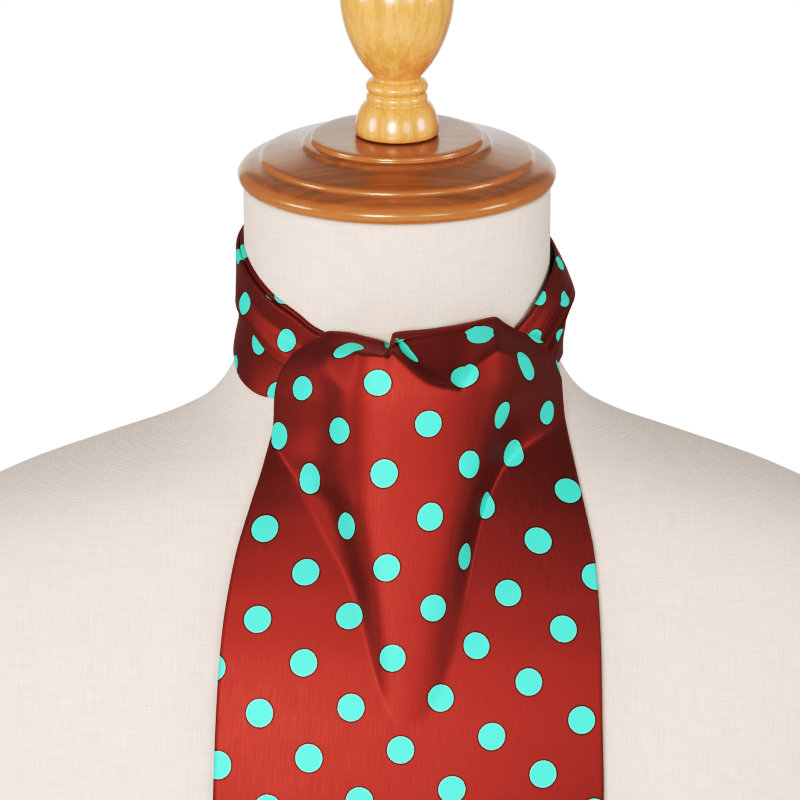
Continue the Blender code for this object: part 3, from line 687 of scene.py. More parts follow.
def sanded(profile):
    """The profile with each corner cut twice, a quarter of each side at a time, so that it is round."""
    points = np.array(profile, float)
    for _ in range(CUTS):
        before, after = points[:-1], points[1:]
        cut = np.stack([before * (1 - CORNER_CUT) + after * CORNER_CUT,
                        before * CORNER_CUT + after * (1 - CORNER_CUT)], 1).reshape(-1, 2)
        points = np.concatenate([points[:1], cut[1:-1], points[-1:]])
    return points


def plain_mesh(source, name, material):
    """The evaluated object as a plain mesh at the origin, with the source removed."""
    mesh = bpy.data.meshes.new_from_object(source.evaluated_get(bpy.context.evaluated_depsgraph_get()))
    mesh.transform(source.matrix_world)
    bpy.data.objects.remove(source, do_unlink=True)
    mesh.name = name
    mesh.materials.clear()
    mesh.materials.append(material)
    return in_scene(name, mesh)


def line_object(name, points):
    mesh = bpy.data.meshes.new(name)
    mesh.from_pydata(points, [(i, i + 1) for i in range(len(points) - 1)], [])
    return in_scene(name, mesh)


def turned(name, profile, material):
    points = [(radius * MM, 0.0, height * MM) for radius, height in sanded(profile)]
    block = line_object(name + " block", points)
    turn = block.modifiers.new("Turned", "SCREW")
    turn.axis, turn.angle, turn.use_smooth_shade = "Z", 2 * math.pi, True
    turn.steps = turn.render_steps = TURN_STEPS
    turn.use_merge_vertices, turn.merge_threshold = True, JOIN_WITHIN
    block.location = (0.0, -(CAP_FORWARD + SEAM_GAP * math.sin(NECK_LEAN)) * MM,
                      (CAP_HEIGHT + SEAM_GAP * math.cos(NECK_LEAN)) * MM)
    block.rotation_euler = (NECK_LEAN, 0.0, 0.0)
    bpy.context.view_layer.update()
    made = joined(plain_mesh(block, name, material))
    made.data.set_sharp_from_angle(angle=SHARP_FROM)
    return made


fit(turned("neck_cap", CAP_PROFILE, cap_finish), "cap_wood", "form_cap")
fit(turned("turned_knob", FINIAL_PROFILE, knob_finish), "knob_wood", "form_finial")

# %% [markdown]
# ## The neckband
#
# Behind the neck a day cravat is stitched into narrow knife pleats, so that it lies flat under a shirt
# collar. Towards the front the pleats open and the silk folds over on itself. On the left two folded layers
# lie one over the other. On the right the silk is pulled in behind the front blade in soft gathers. Each
# stretch follows the angle round the neck (0 is the front), and a table gives how far it stands off the
# linen below its upper edge.

# %% The neckband's upper edge, and how far it stands off the linen
BAND_TOP = curve_of(
    (-180, 12), (-140, 17), (-105, 23), (-77, 28.2), (-63, 33.2), (-52, 37.4), (-40, 41.5), (-31, 46),
    (0, 52), (45, 50), (53, 46), (61, 41), (70, 36.4), (79, 33), (90, 30.6), (103, 28.6), (140, 19.4),
    (180, 12),
)
STAND = curves_of((
    (-2, 2.6, 3.1, 2.8, 1.6, 2.1, 2.1), (0, 2.8, 3.3, 3.1, 1.6, 2.1, 2.1), (4, 3.2, 3.4, 5.4, 1.6, 2.0, 2.6),
    (10, 3.4, 3.4, 8.4, 1.6, 1.9, 5.2), (16, 3.4, 3.5, 10.4, 1.6, 1.9, 7.4),
    (22, 3.4, 3.7, 10.6, 1.6, 2.0, 7.4), (30, 3.2, 4.0, 9.0, 1.6, 2.4, 5.6),
    (38, 3.0, 4.0, 6.4, 1.6, 3.2, 4.0), (48, 2.6, 3.0, 4.4, 1.6, 2.6, 2.4),
), "below_edge back left right inner left_under right_under")
BAND_WIDTH, BAND_WALL = 42.0, 0.55
PLEATS, PLEAT_RISE, PLEAT_CLIMB, PLEAT_ROUND = 4, 1.5, 0.8, 0.8


def band_top(degrees):
    return BAND_TOP((np.asarray(degrees) + 180) % 360 - 180)


def pleat_rise(share):
    """Knife pleats: each climbs slowly, rounds over its fold and drops to the next."""
    phase = (share * PLEATS) % 1.0
    climb = np.minimum(phase / PLEAT_CLIMB, 1)
    drop = np.clip((1 - phase) / (1 - PLEAT_CLIMB), 0, 1)
    return PLEAT_RISE * np.minimum(climb ** PLEAT_ROUND, ease(drop))


print("neckband:", BAND_WIDTH, "mm deep behind the neck, in", PLEATS, "pleats")

# %% Where each stretch of the neckband runs
# Each row is an angle, and where the stretch starts and ends below the upper edge.
LEFT_STRETCH = (
    (-118, 0, 42), (-105, 0, 34), (-92, 0, 25), (-80, 0, 21.5), (-60, 0, 18.5), (-43, 0, 20.5), (-27, 0, 20),
)
LEFT_INNER = ((-114, -0.6, 9), (-95, -1.6, 9.6), (-60, -1.6, 9.6), (-27, -1.2, 9))
LEFT_UNDER = ((-112, 20, 40), (-95, 14, 42), (-75, 12, 43), (-55, 11, 40), (-40, 11, 34))
RIGHT_STRETCH = ((42, 0, 18), (60, 0, 16.5), (75, 0, 15.5), (90, 0, 17), (105, 0, 27), (118, 0, 42))
RIGHT_UNDER = ((53, 11, 27), (65, 10, 31), (85, 11, 38), (108, 18, 40))
# How much of its stand each layer keeps at an angle. It rests on the linen where it keeps none.
KEPT_UNDER = curve_of(
    (-118, 0), (-100, 0), (-82, 1), (-62, 1), (-46, 0), (0, 0), (52, 0), (66, 1), (78, 1), (97, 0), (118, 0),
)
KEPT_RIGHT = curve_of((38, 0), (48, 0.5), (58, 1), (118, 1))
LAYER_REST = 1.9
LIP_RADIUS, LIP_ROWS, LIP_TURN = 0.95, 8, 150
JOIN_ANGLE, JOIN_GAP, PLEATS_OPEN_OVER = 118.0, 0.7, 30
GATHERS, GATHER_RISE, GATHER_TOP, GATHER_DEPTH = 3, 1.0, 6, 13
GATHERS_FROM, GATHERS_OVER = 94, 30
EDGE_LIFT, LIFT_TOP, LIFT_DEPTH, LIFT_FROM, LIFT_OVER = 2.2, 8, 8, -90, 25


# %% Drawing a stretch of the neckband
def rolled_edges(rows):
    """Rows from the upper fold to the lower one: the share of the way down, and how far round each fold."""
    turn = np.radians(np.linspace(LIP_TURN, 0, LIP_ROWS, endpoint=False))
    share = np.concatenate([0 * turn, np.linspace(0, 1, rows), 0 * turn + 1])
    flat = np.zeros(rows + LIP_ROWS)
    return share, np.concatenate([turn, flat]), np.concatenate([flat, turn[::-1]])


def band_points(stretch, side, columns, rows):
    limits = curves_of(stretch, "angle start end")
    share, upper, lower = rolled_edges(rows)
    degrees, share = np.meshgrid(np.linspace(stretch[0][0], stretch[-1][0], columns), share)
    start, end = limits["start"](degrees) + LIP_RADIUS, limits["end"](degrees) - LIP_RADIUS
    below = start * (1 - share) + end * share
    stand = STAND[side](below)
    if side in ("left", "right"):
        opened = ease((JOIN_ANGLE - np.abs(degrees)) / PLEATS_OPEN_OVER)
        pleated = STAND["back"](below) + pleat_rise(below / BAND_WIDTH)
        stand = pleated * (1 - opened) + stand * opened
    if side.endswith("under"):
        stand = LAYER_REST + (stand - LAYER_REST) * KEPT_UNDER(degrees)
    if side == "right":
        stand = LAYER_REST + (stand - LAYER_REST) * KEPT_RIGHT(degrees)
        pulled = GATHER_RISE * ease((GATHERS_FROM - degrees) / GATHERS_OVER)
        place = np.clip((below - GATHER_TOP) / GATHER_DEPTH, 0, 1)
        stand = stand + pulled * np.sin(place * 2 * math.pi * GATHERS) * np.sin(place * math.pi)
    if side == "left":
        lift = ease((below - LIFT_TOP) / LIFT_DEPTH) * ease((degrees - LIFT_FROM) / LIFT_OVER)
        stand = stand + EDGE_LIFT * lift
    down = band_top(degrees) + below + LIP_RADIUS * (np.sin(lower) - np.sin(upper))[:, None]
    stand = stand - LIP_RADIUS * (1 - np.cos(upper + lower))[:, None]
    return on_neck(degrees, down, stand)


def back_band_points(columns, rows):
    start = JOIN_ANGLE + math.degrees(JOIN_GAP / NECK_RADIUS)
    degrees, share = np.meshgrid(np.linspace(start, 360 - start, columns), np.linspace(0, 1, rows))
    below = share * BAND_WIDTH
    return on_neck(degrees, band_top(degrees) + below, STAND["back"](below) + pleat_rise(share))


# %% Making the stretches
def silk_piece(name, solid, points, turn, shift, drawn=(1.0, 1.0), slack=0.0,
               wall=BAND_WALL):
    """Turn and shift place the dots' repeat. "Drawn" is how much closer the gathers bring the dots
    together, along the stretch and across it."""
    cut = flat_cut(points)
    piece = cloth_shell(name, points, wall * MM, silk(name + " silk", turn, shift), cut * drawn + slack)
    fit(piece, "silk", solid)


silk_piece("pleated_neckband", "neckband_back", back_band_points(110, 97), 0.1, (0.004, 0.011))
silk_piece("left_neckband", "neckband_left", band_points(LEFT_STRETCH, "left", 110, 60),
           0.06, (0.03, 0.0195), (1.16, 1.16))
silk_piece("left_neckband_lining", "neckband_left_inner", band_points(LEFT_INNER, "inner", 90, 14),
           0.12, (0.012, 0.0))
silk_piece("left_neckband_under", "neckband_left_under", band_points(LEFT_UNDER, "left_under", 90, 40),
           0.18, (0.021, 0.015), (1.0, 1.16))
silk_piece("right_neckband", "neckband_right", band_points(RIGHT_STRETCH, "right", 110, 80),
           -0.12, (0.0075, 0.0135), (1.3, 1.8))
silk_piece("right_neckband_under", "neckband_right_under", band_points(RIGHT_UNDER, "right_under", 80, 40),
           -0.2, (0.01, 0.0))

# %% [markdown]
# ## The crossing and the short end
#
# Under the front blade the long end crosses over the short end, which holds the tie. Only its edges could
# be seen, so it is a plain band with a soft crown. The short end is a pointed blade that hangs flat on the
# chest behind.

# %% The crossing
SILK_WALL = 0.9
WRAP_SINK = 0.4
WRAP_SECTIONS = (
    (-32, 54, 75, 6.4), (-24, 51.5, 79, 6.3), (-10, 50, 82, 6.1), (-3, 52.5, 83, 6.1), (5, 49.5, 83, 6.1),
    (14, 48, 82, 6.1), (25, 48, 80, 6.1), (33, 50, 77, 6.1),
)
WRAP = curves_of(WRAP_SECTIONS, "angle top bottom stand_off")


def wrap_points(columns, rows):
    degrees, share = np.meshgrid(np.linspace(WRAP_SECTIONS[0][0], WRAP_SECTIONS[-1][0], columns),
                                 np.linspace(0, 1, rows))
    down = WRAP["top"](degrees) * (1 - share) + WRAP["bottom"](degrees) * share
    return on_neck(degrees, down, WRAP["stand_off"](degrees) + np.sin(share * math.pi) - WRAP_SINK)


silk_piece("crossing_wrap", "knot_wrap", wrap_points(70, 40), 0.2, (0.0, 0.005), wall=SILK_WALL)

# %% The blade behind
BACK_BLADE = curves_of((
    (172, -59, 65, 1.8), (228, -59, 65, 1.8), (340, -54, 60, 1.9), (380, -48, 54, 2.0), (415, -38, 43, 2.6),
    (436, -27, 30, 4.0), (452, -20, 22, 4.2),
), "height left right stand_off")
BACK_TOP, BACK_POINT, BACK_END, BACK_CENTRE = 452.0, 228.0, 172.0, 3.0
POINT_BLUNT = 3.0
RIPPLE, RIPPLE_ACROSS, RIPPLE_DOWN, RIPPLE_FADE = 0.35, 11, 60, 40


def pointed(left, right, centre, closing):
    """A blade's two edges, drawn in towards its blunt point."""
    closing = max(0.0, closing)
    return left + (centre - POINT_BLUNT - left) * closing, right + (centre + POINT_BLUNT - right) * closing


def back_blade_points(columns, rows):
    points = []
    for height in np.linspace(BACK_TOP, BACK_END, rows):
        left, right = pointed(BACK_BLADE["left"](height), BACK_BLADE["right"](height), BACK_CENTRE,
                              (BACK_POINT - height) / (BACK_POINT - BACK_END))
        x = np.linspace(left, right, columns)
        fade = ease((height - BACK_END) / RIPPLE_FADE)
        ripple = RIPPLE * np.sin(x / RIPPLE_ACROSS + height / RIPPLE_DOWN) * fade
        forward = form_front(x, height) + BACK_BLADE["stand_off"](height) + ripple
        points.append(in_metres(x, forward, height + 0 * x))
    return np.array(points)


silk_piece("short_end", "back_blade", back_blade_points(70, 110), 0.0, (0.01, 0.01),
           wall=SILK_WALL)

# %% [markdown]
# ## The front blade
#
# The long end comes up behind the crossing, rolls over it and falls to a point. It is gathered where it
# rolls over, so below the roll it opens in a full puff with deep side steps. In the notch of the fold a
# tongue of cloth stands in front of two flaps, which dive behind it. A cloth simulation would puff it too,
# but would not put each crease where this way of tying does, so the creases are given one by one: each table
# gives one crease, and the cut is laid flat again afterwards.

# %% The fold's edge, and the blade's outline
FOLD_EDGE = (
    (-31.0, 466.1, 5.2, 2.5), (-26.0, 468.0, 4.2, 3.8), (-20.0, 467.8, 2.2, 5.0), (-13.0, 466.2, 1.0, 5.2),
    (-7.5, 464.8, 0.7, 4.6), (-4.8, 463.6, 0.7, 3.2), (-3.2, 462.6, 0.7, 2.8), (-1.6, 467.6, 0.7, 5.0),
    (1.0, 468.4, 0.7, 6.0), (13.0, 469.4, 0.7, 6.6), (28.0, 471.0, 1.2, 6.2), (38.5, 472.6, 3.2, 5.0),
    (43.0, 469.6, 5.4, 4.2), (48.5, 466.2, 8.4, 3.4), (54.5, 463.6, 11.2, 2.9), (61.2, 458.0, 14.0, 2.5),
)
FOLD = curves_of(FOLD_EDGE, "across height rear roll")
BLADE = curves_of((
    (0, 91, -31, 60, 61.2, 40, 3.4), (10, 92.2, -42.5, 56, 65.0, 38, 3.4),
    (20, 93.4, -47.5, 56, 66.4, 36, 3.4), (28, 94.2, -49, 57, 66.8, 35, 3.3),
    (40, 95, -49.5, 57, 67.6, 36, 3.1), (55, 96, -53, 57, 70.5, 44, 2.8), (70, 97.5, -58, 64, 74.0, 54, 2.4),
    (90, 100, -64, 76, 78.0, 69, 2.2), (120, 104, -69, 92, 80.0, 88, 2.0),
    (150, 108.5, -71, 101, 80.5, 98, 2.0), (180, 113, -72, 107, 81.0, 105, 2.0),
    (220, 116.5, -72.5, 109, 81.0, 108, 2.0), (245, 117, -72.5, 108, 81.0, 107, 2.0),
    (322, 114, -72.5, 104, 81.0, 103, 2.0),
), "drop centre left left_depth right right_depth roundness")
# The notch dips less and less from row to row, and is gone at this drop.
NOTCH_SINK = curve_of((-31, 0), (-14, 0), (-7.5, 1.6), (-4.8, 3.2), (-3.2, 4.4), (-1.6, 0), (61, 0))
FOLD_HEIGHT, LEVEL_FROM, NOTCH_LEVEL = 470.0, 45.0, 9.0
BLADE_CENTRE, BLADE_CLEAR = 4.0, 4.4
POINT_START, POINT_END = 245.0, 321.0
print("fold:", FOLD_EDGE[-1][0] - FOLD_EDGE[0][0], "mm wide at its crest")

# %% The creases below the fold
STEPS = curves_of((
    (0, 54, 0, 9, -30, 6, 10), (15, 51, 4, 9, -30, 19, 13), (30, 45, 13, 7.5, -30, 19, 13.5),
    (52, 37, 23, 5.5, -27, 13, 11), (68, 32.5, 22, 5, -22, 14, 6), (88, 27, 15, 5, -17, 13, 5.5),
    (106, 24, 10, 5.5, -13, 11, 5), (135, 20, 6, 7, -10, 7, 6.5), (180, 17, 3, 9, -9, 3.5, 8),
    (230, 15, 0, 10, -9, 0, 10),
), "drop right right_fall right_reach left left_fall left_reach")
# How the front comes forward below the roll: quickly to a lip, and then slowly to its full depth.
LIP = curves_of((
    (-31, 4.0, 0.42, 14), (-27, 4.4, 0.46, 16), (-22, 5.6, 0.58, 20), (-18.5, 4.4, 0.72, 22),
    (-15, 2.8, 0.88, 22), (-11, 2.2, 0.92, 22), (-6, 1.8, 0.92, 22), (-3.4, 1.5, 0.91, 22),
    (-2.4, 1.8, 0.90, 22), (0, 2.0, 0.90, 22), (6, 2.2, 0.90, 22), (26, 2.4, 0.80, 20), (34, 3.2, 0.55, 15),
    (45, 4.0, 0.48, 14), (61, 4.0, 0.45, 14),
), "across lip_drop lip_share full_drop")
# The right flap is a slanting facet behind the tongue's edge. Where the crease is above the roll there is
# no flap.
FLAP = curves_of((
    (-3.4, -6, 37), (-2.8, -3, 37), (-2.2, 1.0, 37), (-1.2, 2.8, 37), (0.4, 4.6, 37), (1.6, 5.8, 37),
    (4.8, 9.2, 37), (8.7, 12.8, 37), (12.7, 15.6, 37), (16.7, 17.4, 36), (20.0, 18.4, 31), (22.7, 19.6, 25.5),
    (26.0, 23.0, 19), (28.5, 30.0, 14.5), (32.0, 40.0, 11), (36.0, 40.0, 9), (41.0, 40.0, 7.5),
    (61.0, 40.0, 6.0),
), "across crease_drop length")
# Each soft hollow runs from a drop and a place across to another, and has a depth and a reach.
TROUGHS = (
    (8, -26, 60, -31, 3.0, 7.0), (118, -40, 200, -52, 2.2, 9.0), (110, 46, 215, 58, 2.6, 10.0),
    (150, 2, 260, 7, 1.8, 9.0),
)
CREASE_REACH, FLAP_BEND, TROUGH_SWELL = 1.0, 0.21, 0.7


# %% The fold over the crossing
REAR_CLEAR, REAR_LENGTH, REAR_END_LENGTH = 0.7, 24.0, 2.0
REAR_LEFT, REAR_RIGHT = -21.0, 25.0
ROLL_PAST_CREST = math.radians(45.0)


def fold_rear(across, height):
    radius = NECK_RADIUS + FOLD["rear"](across)
    rear = neck_axis(height) + np.sqrt(np.clip(radius ** 2 - across ** 2, 0, None))
    return np.maximum(rear, form_front(across, height) + REAR_CLEAR)


def notch_left(across, drop):
    """How far a row still dips where the notch is above it."""
    return NOTCH_SINK(across) * (1 - ease(drop / NOTCH_LEVEL)) * (1 - ease(drop / LEVEL_FROM))


def blade_height(across, drop):
    """Rows follow the fold's edge at the top and are level further down. The notch fades out first."""
    level = ease(drop / LEVEL_FROM)
    edge = (FOLD["height"](across) + NOTCH_SINK(across)) * (1 - level) + FOLD_HEIGHT * level
    return edge - notch_left(across, drop) - drop


# %% The blade's depth below the fold
def trough_depth(across, drop):
    depth = np.zeros(np.shape(across))
    for drop_from, across_from, drop_to, across_to, deepest, reach in TROUGHS:
        along = np.clip((drop - drop_from) / (drop_to - drop_from), 0, 1)
        middle = across_from + (across_to - across_from) * along
        swell = np.sin(math.pi * along) ** TROUGH_SWELL
        depth = depth + deepest * swell * np.exp(-((across - middle) / reach) ** 2)
    return depth


def puff(across, drop, first, sunk):
    """How much of its full depth each point of the front has reached."""
    below = np.clip(drop - first, 0, None)
    lip, share = LIP["lip_drop"](across), LIP["lip_share"](across)
    over_lip = np.sin(math.pi / 2 * np.clip(below / lip, 0, 1))
    opening = (below + sunk - 0.5 * lip) / (LIP["full_drop"](across) - 0.5 * lip)
    to_full = np.sin(math.pi / 2 * np.clip(opening, 0, 1))
    tongue = over_lip * (share + (1 - share) * to_full)
    slope = np.clip(below / FLAP["length"](across), 0, 1)
    flap = (slope - FLAP_BEND * slope ** 4) / (1 - FLAP_BEND)
    return flap + (tongue - flap) * rise((drop - FLAP["crease_drop"](across)) / CREASE_REACH)


def blade_forward(across, drop):
    sunk = notch_left(across, drop)
    centre = BLADE["centre"](drop + sunk)
    right = across > BLADE_CENTRE
    edge, edge_depth, fall = (np.where(right, table["right" + end](drop), table["left" + end](drop))
                              for table, end in ((BLADE, ""), (BLADE, "_depth"), (STEPS, "_fall")))
    out = np.clip((across - BLADE_CENTRE) / (edge - BLADE_CENTRE), 0, 1)
    forward = centre - (centre - edge_depth - fall) * out ** BLADE["roundness"](drop)
    for side, outwards in (("right", 1), ("left", -1)):
        past = (across - STEPS[side](drop)) * outwards
        forward = forward - STEPS[side + "_fall"](drop) * rise(past / STEPS[side + "_reach"](drop))
    forward = forward - trough_depth(across, drop)
    forward = np.maximum(forward, form_front(across, blade_height(across, drop)) + BLADE_CLEAR)
    roll = FOLD["roll"](across)
    first = roll * (1 - math.cos(ROLL_PAST_CREST))
    start = fold_rear(across, FOLD["height"](across)) + roll * (1 + math.sin(ROLL_PAST_CREST))
    return start + (forward - start) * puff(across, drop, first, sunk)


# %% Rows of the front blade
BLADE_ROWS, BLADE_COLUMNS, REAR_ROWS, ROLL_ROWS, DENSE = 170, 186, 10, 16, 1600
FIRST_DROP, EVEN_SHARE = 2.6, 0.42


def even_columns(across, forward, height):
    """A curve's points, moved so that they are evenly spaced along the cloth."""
    steps = np.sqrt(np.diff(across) ** 2 + np.diff(forward) ** 2 + np.diff(height) ** 2)
    along = np.concatenate([[0], np.cumsum(steps)])
    even = np.linspace(0, along[-1], BLADE_COLUMNS)
    return [np.interp(even, along, values) for values in (across, forward, height)]


def front_blade_points(drops):
    """Rows up behind the crossing, over the roll, and then down the front to the point."""
    crest_across = np.linspace(FOLD_EDGE[0][0], FOLD_EDGE[-1][0], DENSE)
    crest_height = FOLD["height"](crest_across)
    crest_forward = fold_rear(crest_across, crest_height) + FOLD["roll"](crest_across)
    across, _, height = even_columns(crest_across, crest_forward, crest_height)
    rear, roll = fold_rear(across, height), FOLD["roll"](across)
    share = np.linspace(0, 1, BLADE_COLUMNS)
    rear_length = REAR_END_LENGTH + (REAR_LENGTH - REAR_END_LENGTH) * (1 - np.abs(2 * share - 1) ** 3)
    gathered = REAR_LEFT + (REAR_RIGHT - REAR_LEFT) * share
    rows = []
    for left_to_go in np.linspace(1, 0, REAR_ROWS, endpoint=False):
        length = rear_length * left_to_go
        x = across + (gathered - across) * length / REAR_LENGTH
        level = height - roll - length
        rows.append((x, fold_rear(x, level), level))
    for turn in np.linspace(-math.pi / 2, ROLL_PAST_CREST, ROLL_ROWS):
        rows.append((across, rear + roll * (1 + np.sin(turn)), height - roll * (1 - np.cos(turn))))
    for drop in drops:
        edges = pointed(BLADE["left"](drop), BLADE["right"](drop), BLADE_CENTRE,
                        (drop - POINT_START) / (POINT_END - POINT_START))
        x = np.linspace(*edges, DENSE)
        rows.append(even_columns(x, blade_forward(x, drop), blade_height(x, drop)))
    return np.array([in_metres(*row) for row in rows])


way_down = np.linspace(0, 1, BLADE_ROWS)
drops = FIRST_DROP + (POINT_END - FIRST_DROP) * (EVEN_SHARE * way_down + (1 - EVEN_SHARE) * way_down ** 2)
blade_grid = front_blade_points(drops)
print("front blade:", blade_grid.shape[0], "rows of", blade_grid.shape[1], "points")

# %% [markdown]
# ## Where the dots fall on the front blade
#
# Knotted silk is pulled into pleats that are tighter than its shell can show, and each takes up a few
# millimetres of cloth, so the dots on its two sides stand closer together. The tables give what is taken
# up: across the tongue's right edge and the side steps, across the notch, and down the blade, where the
# sides are drawn up more than the middle. Only the place of the repeat is eased.

# %% Cloth taken up in tight pleats
# Each pleat pulls in the cloth on its own side. Its rows are a drop, a place across, what is taken and a
# reach.
PLEATS_TAKEN_UP = (
    ("right", (
        (0, -1.6, 8.2, 1.5), (2.6, 0.6, 8.2, 1.5), (6, 3.6, 8.2, 1.5), (9.3, 7.0, 6.6, 1.6),
        (14, 13, 4.0, 2.6), (20, 20, 3.2, 5), (35, 22, 3.4, 8), (60, 22, 2.4, 9), (85, 24, 1.2, 9),
        (120, 24, 0, 9),
    )),
    ("right", (
        (0, 44, 4.2, 6), (15, 43, 4.0, 6), (30, 42, 1.2, 4), (52, 38, 2.4, 3), (80, 30, 2.6, 3),
        (106, 25, 1.6, 4), (150, 20, 0, 5),
    )),
    ("left", ((0, -20, -5.0, 14), (6, -20, -4.0, 14), (14, -20, 0, 14))),
    ("left", (
        (0, -3.6, -8.0, 1.6), (3, -4.0, -6.0, 2.4), (9, -8, -1.4, 6), (14, -12, -1.0, 8), (20, -14, -0.8, 6),
        (40, -20, 0.8, 8), (70, -20, 0, 8),
    )),
    ("right", ((0, 24, 2.6, 7), (10, 24, 2.0, 7), (24, 24, 0, 7))),
    ("left", (
        (0, -40, 0, 4), (30, -41, -1.0, 4), (46, -41, -3.8, 4), (70, -44, -1.5, 5), (110, -44, 0, 6),
    )),
)
DRAWN_UP = curve_of(
    (-50, 8.0), (-36, 8.2), (-26, 6.2), (-8, 4.9), (8, 3.8), (26, 3.6), (38, 2.0), (50, 3.6), (62, 3.0),
    (80, 3.0),
)
DRAWN_FADE = curve_of((0, 1), (40, 0.95), (55, 0.76), (72, 0.42), (95, 0.28), (130, 0.22), (170, 0))


def taken_up(grid, row_drops):
    """How far the repeat is moved at each point, in metres."""
    across = grid[..., 0] / MM
    drop = np.broadcast_to(row_drops[:, None], across.shape)
    shift = np.zeros(across.shape)
    for side, rows in PLEATS_TAKEN_UP:
        pleat = curves_of(rows, "drop across taken reach")
        past = rise((across - pleat["across"](drop)) / pleat["reach"](drop))
        shift = shift + pleat["taken"](drop) * (past if side == "right" else 1 - past)
    return np.stack([shift, DRAWN_UP(across) * DRAWN_FADE(drop)], -1) * MM


slack = taken_up(blade_grid, np.concatenate([np.zeros(REAR_ROWS + ROLL_ROWS), drops]))
silk_piece("front_blade_silk", "front_blade", blade_grid, 0.131, (0.0334, -0.0773), slack=slack,
           wall=SILK_WALL)

# %% [markdown]
# ## Stitches
#
# Stitches repeat along a path, so a small Geometry Nodes tree lays them: the path is cut into equal steps,
# a short rounded bar of thread is set along each step, and the copies are made real. The tree takes the
# step, the stitch's length and its thickness. It holds the neckband's pleats where they begin to open, and
# closes the linen cover down the centre back.

# %% A tree that lays stitches along a path
STITCH_SEGMENTS, STITCH_RINGS = 8, 6


def stitch_tree():
    tree = bpy.data.node_groups.new("Stitches along a path", "GeometryNodeTree")
    inputs = {"Geometry": "Geometry", "Step": "Float", "Length": "Float", "Thickness": "Float",
              "Thread": "Material"}
    for name, kind in inputs.items():
        tree.interface.new_socket(name, in_out="INPUT", socket_type="NodeSocket" + kind)
    tree.interface.new_socket("Geometry", in_out="OUTPUT", socket_type="NodeSocketGeometry")
    given = node(tree, "NodeGroupInput").outputs
    path = node(tree, "GeometryNodeMeshToCurve", {"Mesh": given["Geometry"]})
    steps = node(tree, "GeometryNodeCurveToPoints", {"Curve": path.outputs[0], "Length": given["Step"]},
                 mode="LENGTH").outputs
    bar = node(tree, "GeometryNodeMeshUVSphere",
               {"Segments": STITCH_SEGMENTS, "Rings": STITCH_RINGS, "Radius": 0.5})
    size = node(tree, "ShaderNodeCombineXYZ",
                {"X": given["Thickness"], "Y": given["Thickness"], "Z": given["Length"]})
    laid = node(tree, "GeometryNodeInstanceOnPoints",
                {"Points": steps["Points"], "Instance": bar.outputs[0], "Rotation": steps["Rotation"],
                 "Scale": size.outputs[0]})
    real = node(tree, "GeometryNodeRealizeInstances", {"Geometry": laid.outputs[0]})
    coloured = node(tree, "GeometryNodeSetMaterial",
                    {"Geometry": real.outputs[0], "Material": given["Thread"]})
    node(tree, "NodeGroupOutput", {"Geometry": coloured.outputs[0]})
    return tree


STITCHES = stitch_tree()


def stitches(name, path, step, length, thickness, thread):
    carrier = line_object(name + " path", np.asarray(path).tolist())
    laid = carrier.modifiers.new("Stitches", "NODES")
    laid.node_group = STITCHES
    sizes = {"Step": step, "Length": length, "Thickness": thickness, "Thread": thread}
    for item in STITCHES.interface.items_tree:
        if item.in_out == "INPUT" and item.name in sizes:
            laid[item.identifier] = sizes[item.name]
    bpy.context.view_layer.update()
    made = plain_mesh(carrier, name, thread)
    made.data.shade_smooth()
    print(name, "stitches:", len(made.data.polygons) // (STITCH_SEGMENTS * STITCH_RINGS))
    return made


# %% Stitches across the pleats and down the cover's back
PLEAT_STITCH = {"step": 0.0030, "length": 0.0021, "thickness": 0.00055}
SEAM_STITCH = {"step": 0.0065, "length": 0.0032, "thickness": 0.0006}
STITCHED_AT, STITCH_PROUD, STITCHED_FROM, STITCHED_TO = 121.5, 0.1, 0.02, 0.98
SEAM_TOP, SEAM_FOOT, SEAM_SINK = 515, 8, 0.3
BAND_POINTS, SEAM_POINTS = 60, 240


def across_band(degrees):
    share = np.linspace(STITCHED_FROM, STITCHED_TO, BAND_POINTS)
    degrees, below = np.full(BAND_POINTS, degrees), share * BAND_WIDTH
    stand = STAND["back"](below) + pleat_rise(share) + STITCH_PROUD
    return on_neck(degrees, band_top(degrees) + below, stand)


def down_back():
    """The cover's closing seam, sunk into its dip."""
    centre_back = np.array([-math.pi])
    rings = [form_ring(height, centre_back) for height in np.linspace(SEAM_TOP, SEAM_FOOT, SEAM_POINTS)]
    across, forward, level = np.array(rings)[..., 0].T
    return in_metres(across, forward + SEAM_SINK, level)


for side, degrees in (("left", -STITCHED_AT), ("right", STITCHED_AT)):
    fit(stitches("pleat_stitches_" + side, across_band(degrees), thread=silk_thread, **PLEAT_STITCH), "silk")
fit(stitches("cover_seam_stitches", down_back(), thread=linen_thread, **SEAM_STITCH), "linen")

# %% [markdown]
# ## Floor, light and camera
#
# A product stands best on a pale floor in soft light. The key is a broad softbox in front, a little to the
# left of the camera, so that the folds on the right fall into shade. A weak softbox on the right of the
# camera opens that shade, and one on each side draws the sheen along the folds. A bright backdrop behind
# lights the form's outline, and a pale world fills the rest and is white where the camera sees it. The view
# has a gentle S-shaped tone curve, as a camera's own has.

# %% Floor
FLOOR_RADIUS, FLOOR_SIDES, FLOOR_DROP = 0.92, 96, 0.0002
ring = np.linspace(0, 2 * math.pi, FLOOR_SIDES, endpoint=False)
floor = mesh_piece("pale_floor", np.stack([FLOOR_RADIUS * np.cos(ring), FLOOR_RADIUS * np.sin(ring),
                                           0 * ring - FLOOR_DROP], -1), [range(FLOOR_SIDES)],
                   new_material("pale floor", (0.86, 0.86, 0.85), Roughness=0.8)[0])
print("floor:", FLOOR_RADIUS * 2, "m across")

# %% Light
TARGET = Vector((0.0012, -0.045, 0.4366))
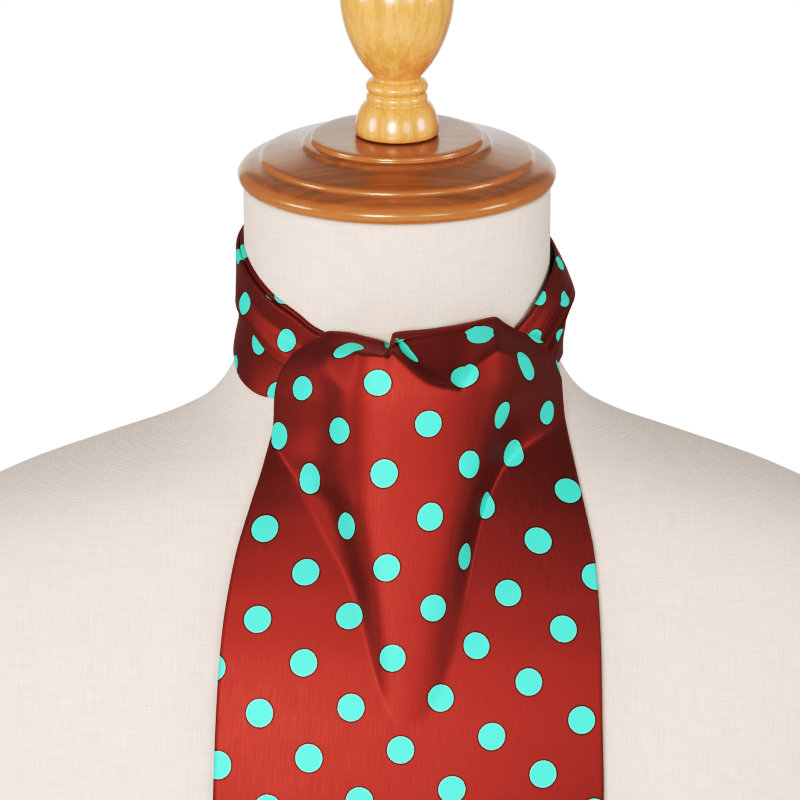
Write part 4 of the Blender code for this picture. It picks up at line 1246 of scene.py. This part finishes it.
# Each softbox's place from the knot, its size and its power.
SOFTBOXES = {
    "key softbox": ((-0.45, -1.85, 0.30), 0.7, 17.5),
    "front softbox": ((0.85, -1.70, 0.28), 0.7, 4.5),
    "left softbox": ((-1.80, -0.55, 0.35), 0.7, 8.5),
    "right softbox": ((1.78, -0.60, 0.36), 0.7, 7.5),
    "bright backdrop": ((0, 2.2, 0.48), 2.4, 7.0),
}
ROOM_LIGHT = 0.28
TONE = ((0.083, 0.050), (0.36, 0.51), (0.77, 0.87))


def aimed(name, data, away):
    """Sets a lamp or a camera at a place from the knot, looking at it."""
    made = in_scene(name, data)
    made.location = TARGET + away
    made.rotation_euler = (TARGET - made.location).to_track_quat("-Z", "Y").to_euler()
    return made


for name, (away, size, power) in SOFTBOXES.items():
    lamp = bpy.data.lights.new(name, "AREA")
    lamp.shape, lamp.size, lamp.energy = "DISK", size, power
    aimed(name, lamp, Vector(away)).visible_camera = name != "bright backdrop"
print("lights:", len(SOFTBOXES), "of", sum(power for _, _, power in SOFTBOXES.values()), "W together")

# %% The pale room and the view's tone
world = bpy.data.worlds.new("pale room")
bpy.context.scene.world = world
world.use_nodes = True
room = world.node_tree
fill = room.nodes["Background"]
fill.inputs["Strength"].default_value = ROOM_LIGHT
fill.inputs["Color"].default_value = (1, 1, 1, 1)
white = node(room, "ShaderNodeBackground", {"Color": (1, 1, 1, 1), "Strength": 1.0})
seen = node(room, "ShaderNodeLightPath").outputs["Is Camera Ray"]
both = node(room, "ShaderNodeMixShader", {0: seen, 1: fill.outputs[0], 2: white.outputs[0]})
room.links.new(both.outputs[0], room.nodes["World Output"].inputs["Surface"])
look = bpy.context.scene.view_settings
look.view_transform = "Standard"
look.use_curve_mapping = True
for level, shown in TONE:
    look.curve_mapping.curves[3].points.new(level, shown)
look.curve_mapping.update()
print("tone:", TONE)

# %% Camera
CAMERA_DISTANCE, CAMERA_UP, LENS = 1.9, math.radians(10.2), 214.2
lens = bpy.data.cameras.new("camera")
lens.lens, lens.sensor_width, lens.clip_start = LENS, 36.0, 0.01
camera = aimed("camera", lens, Vector((0, -math.cos(CAMERA_UP), math.sin(CAMERA_UP))) * CAMERA_DISTANCE)
bpy.context.scene.camera = camera
print("camera at", [round(c, 3) for c in camera.location])
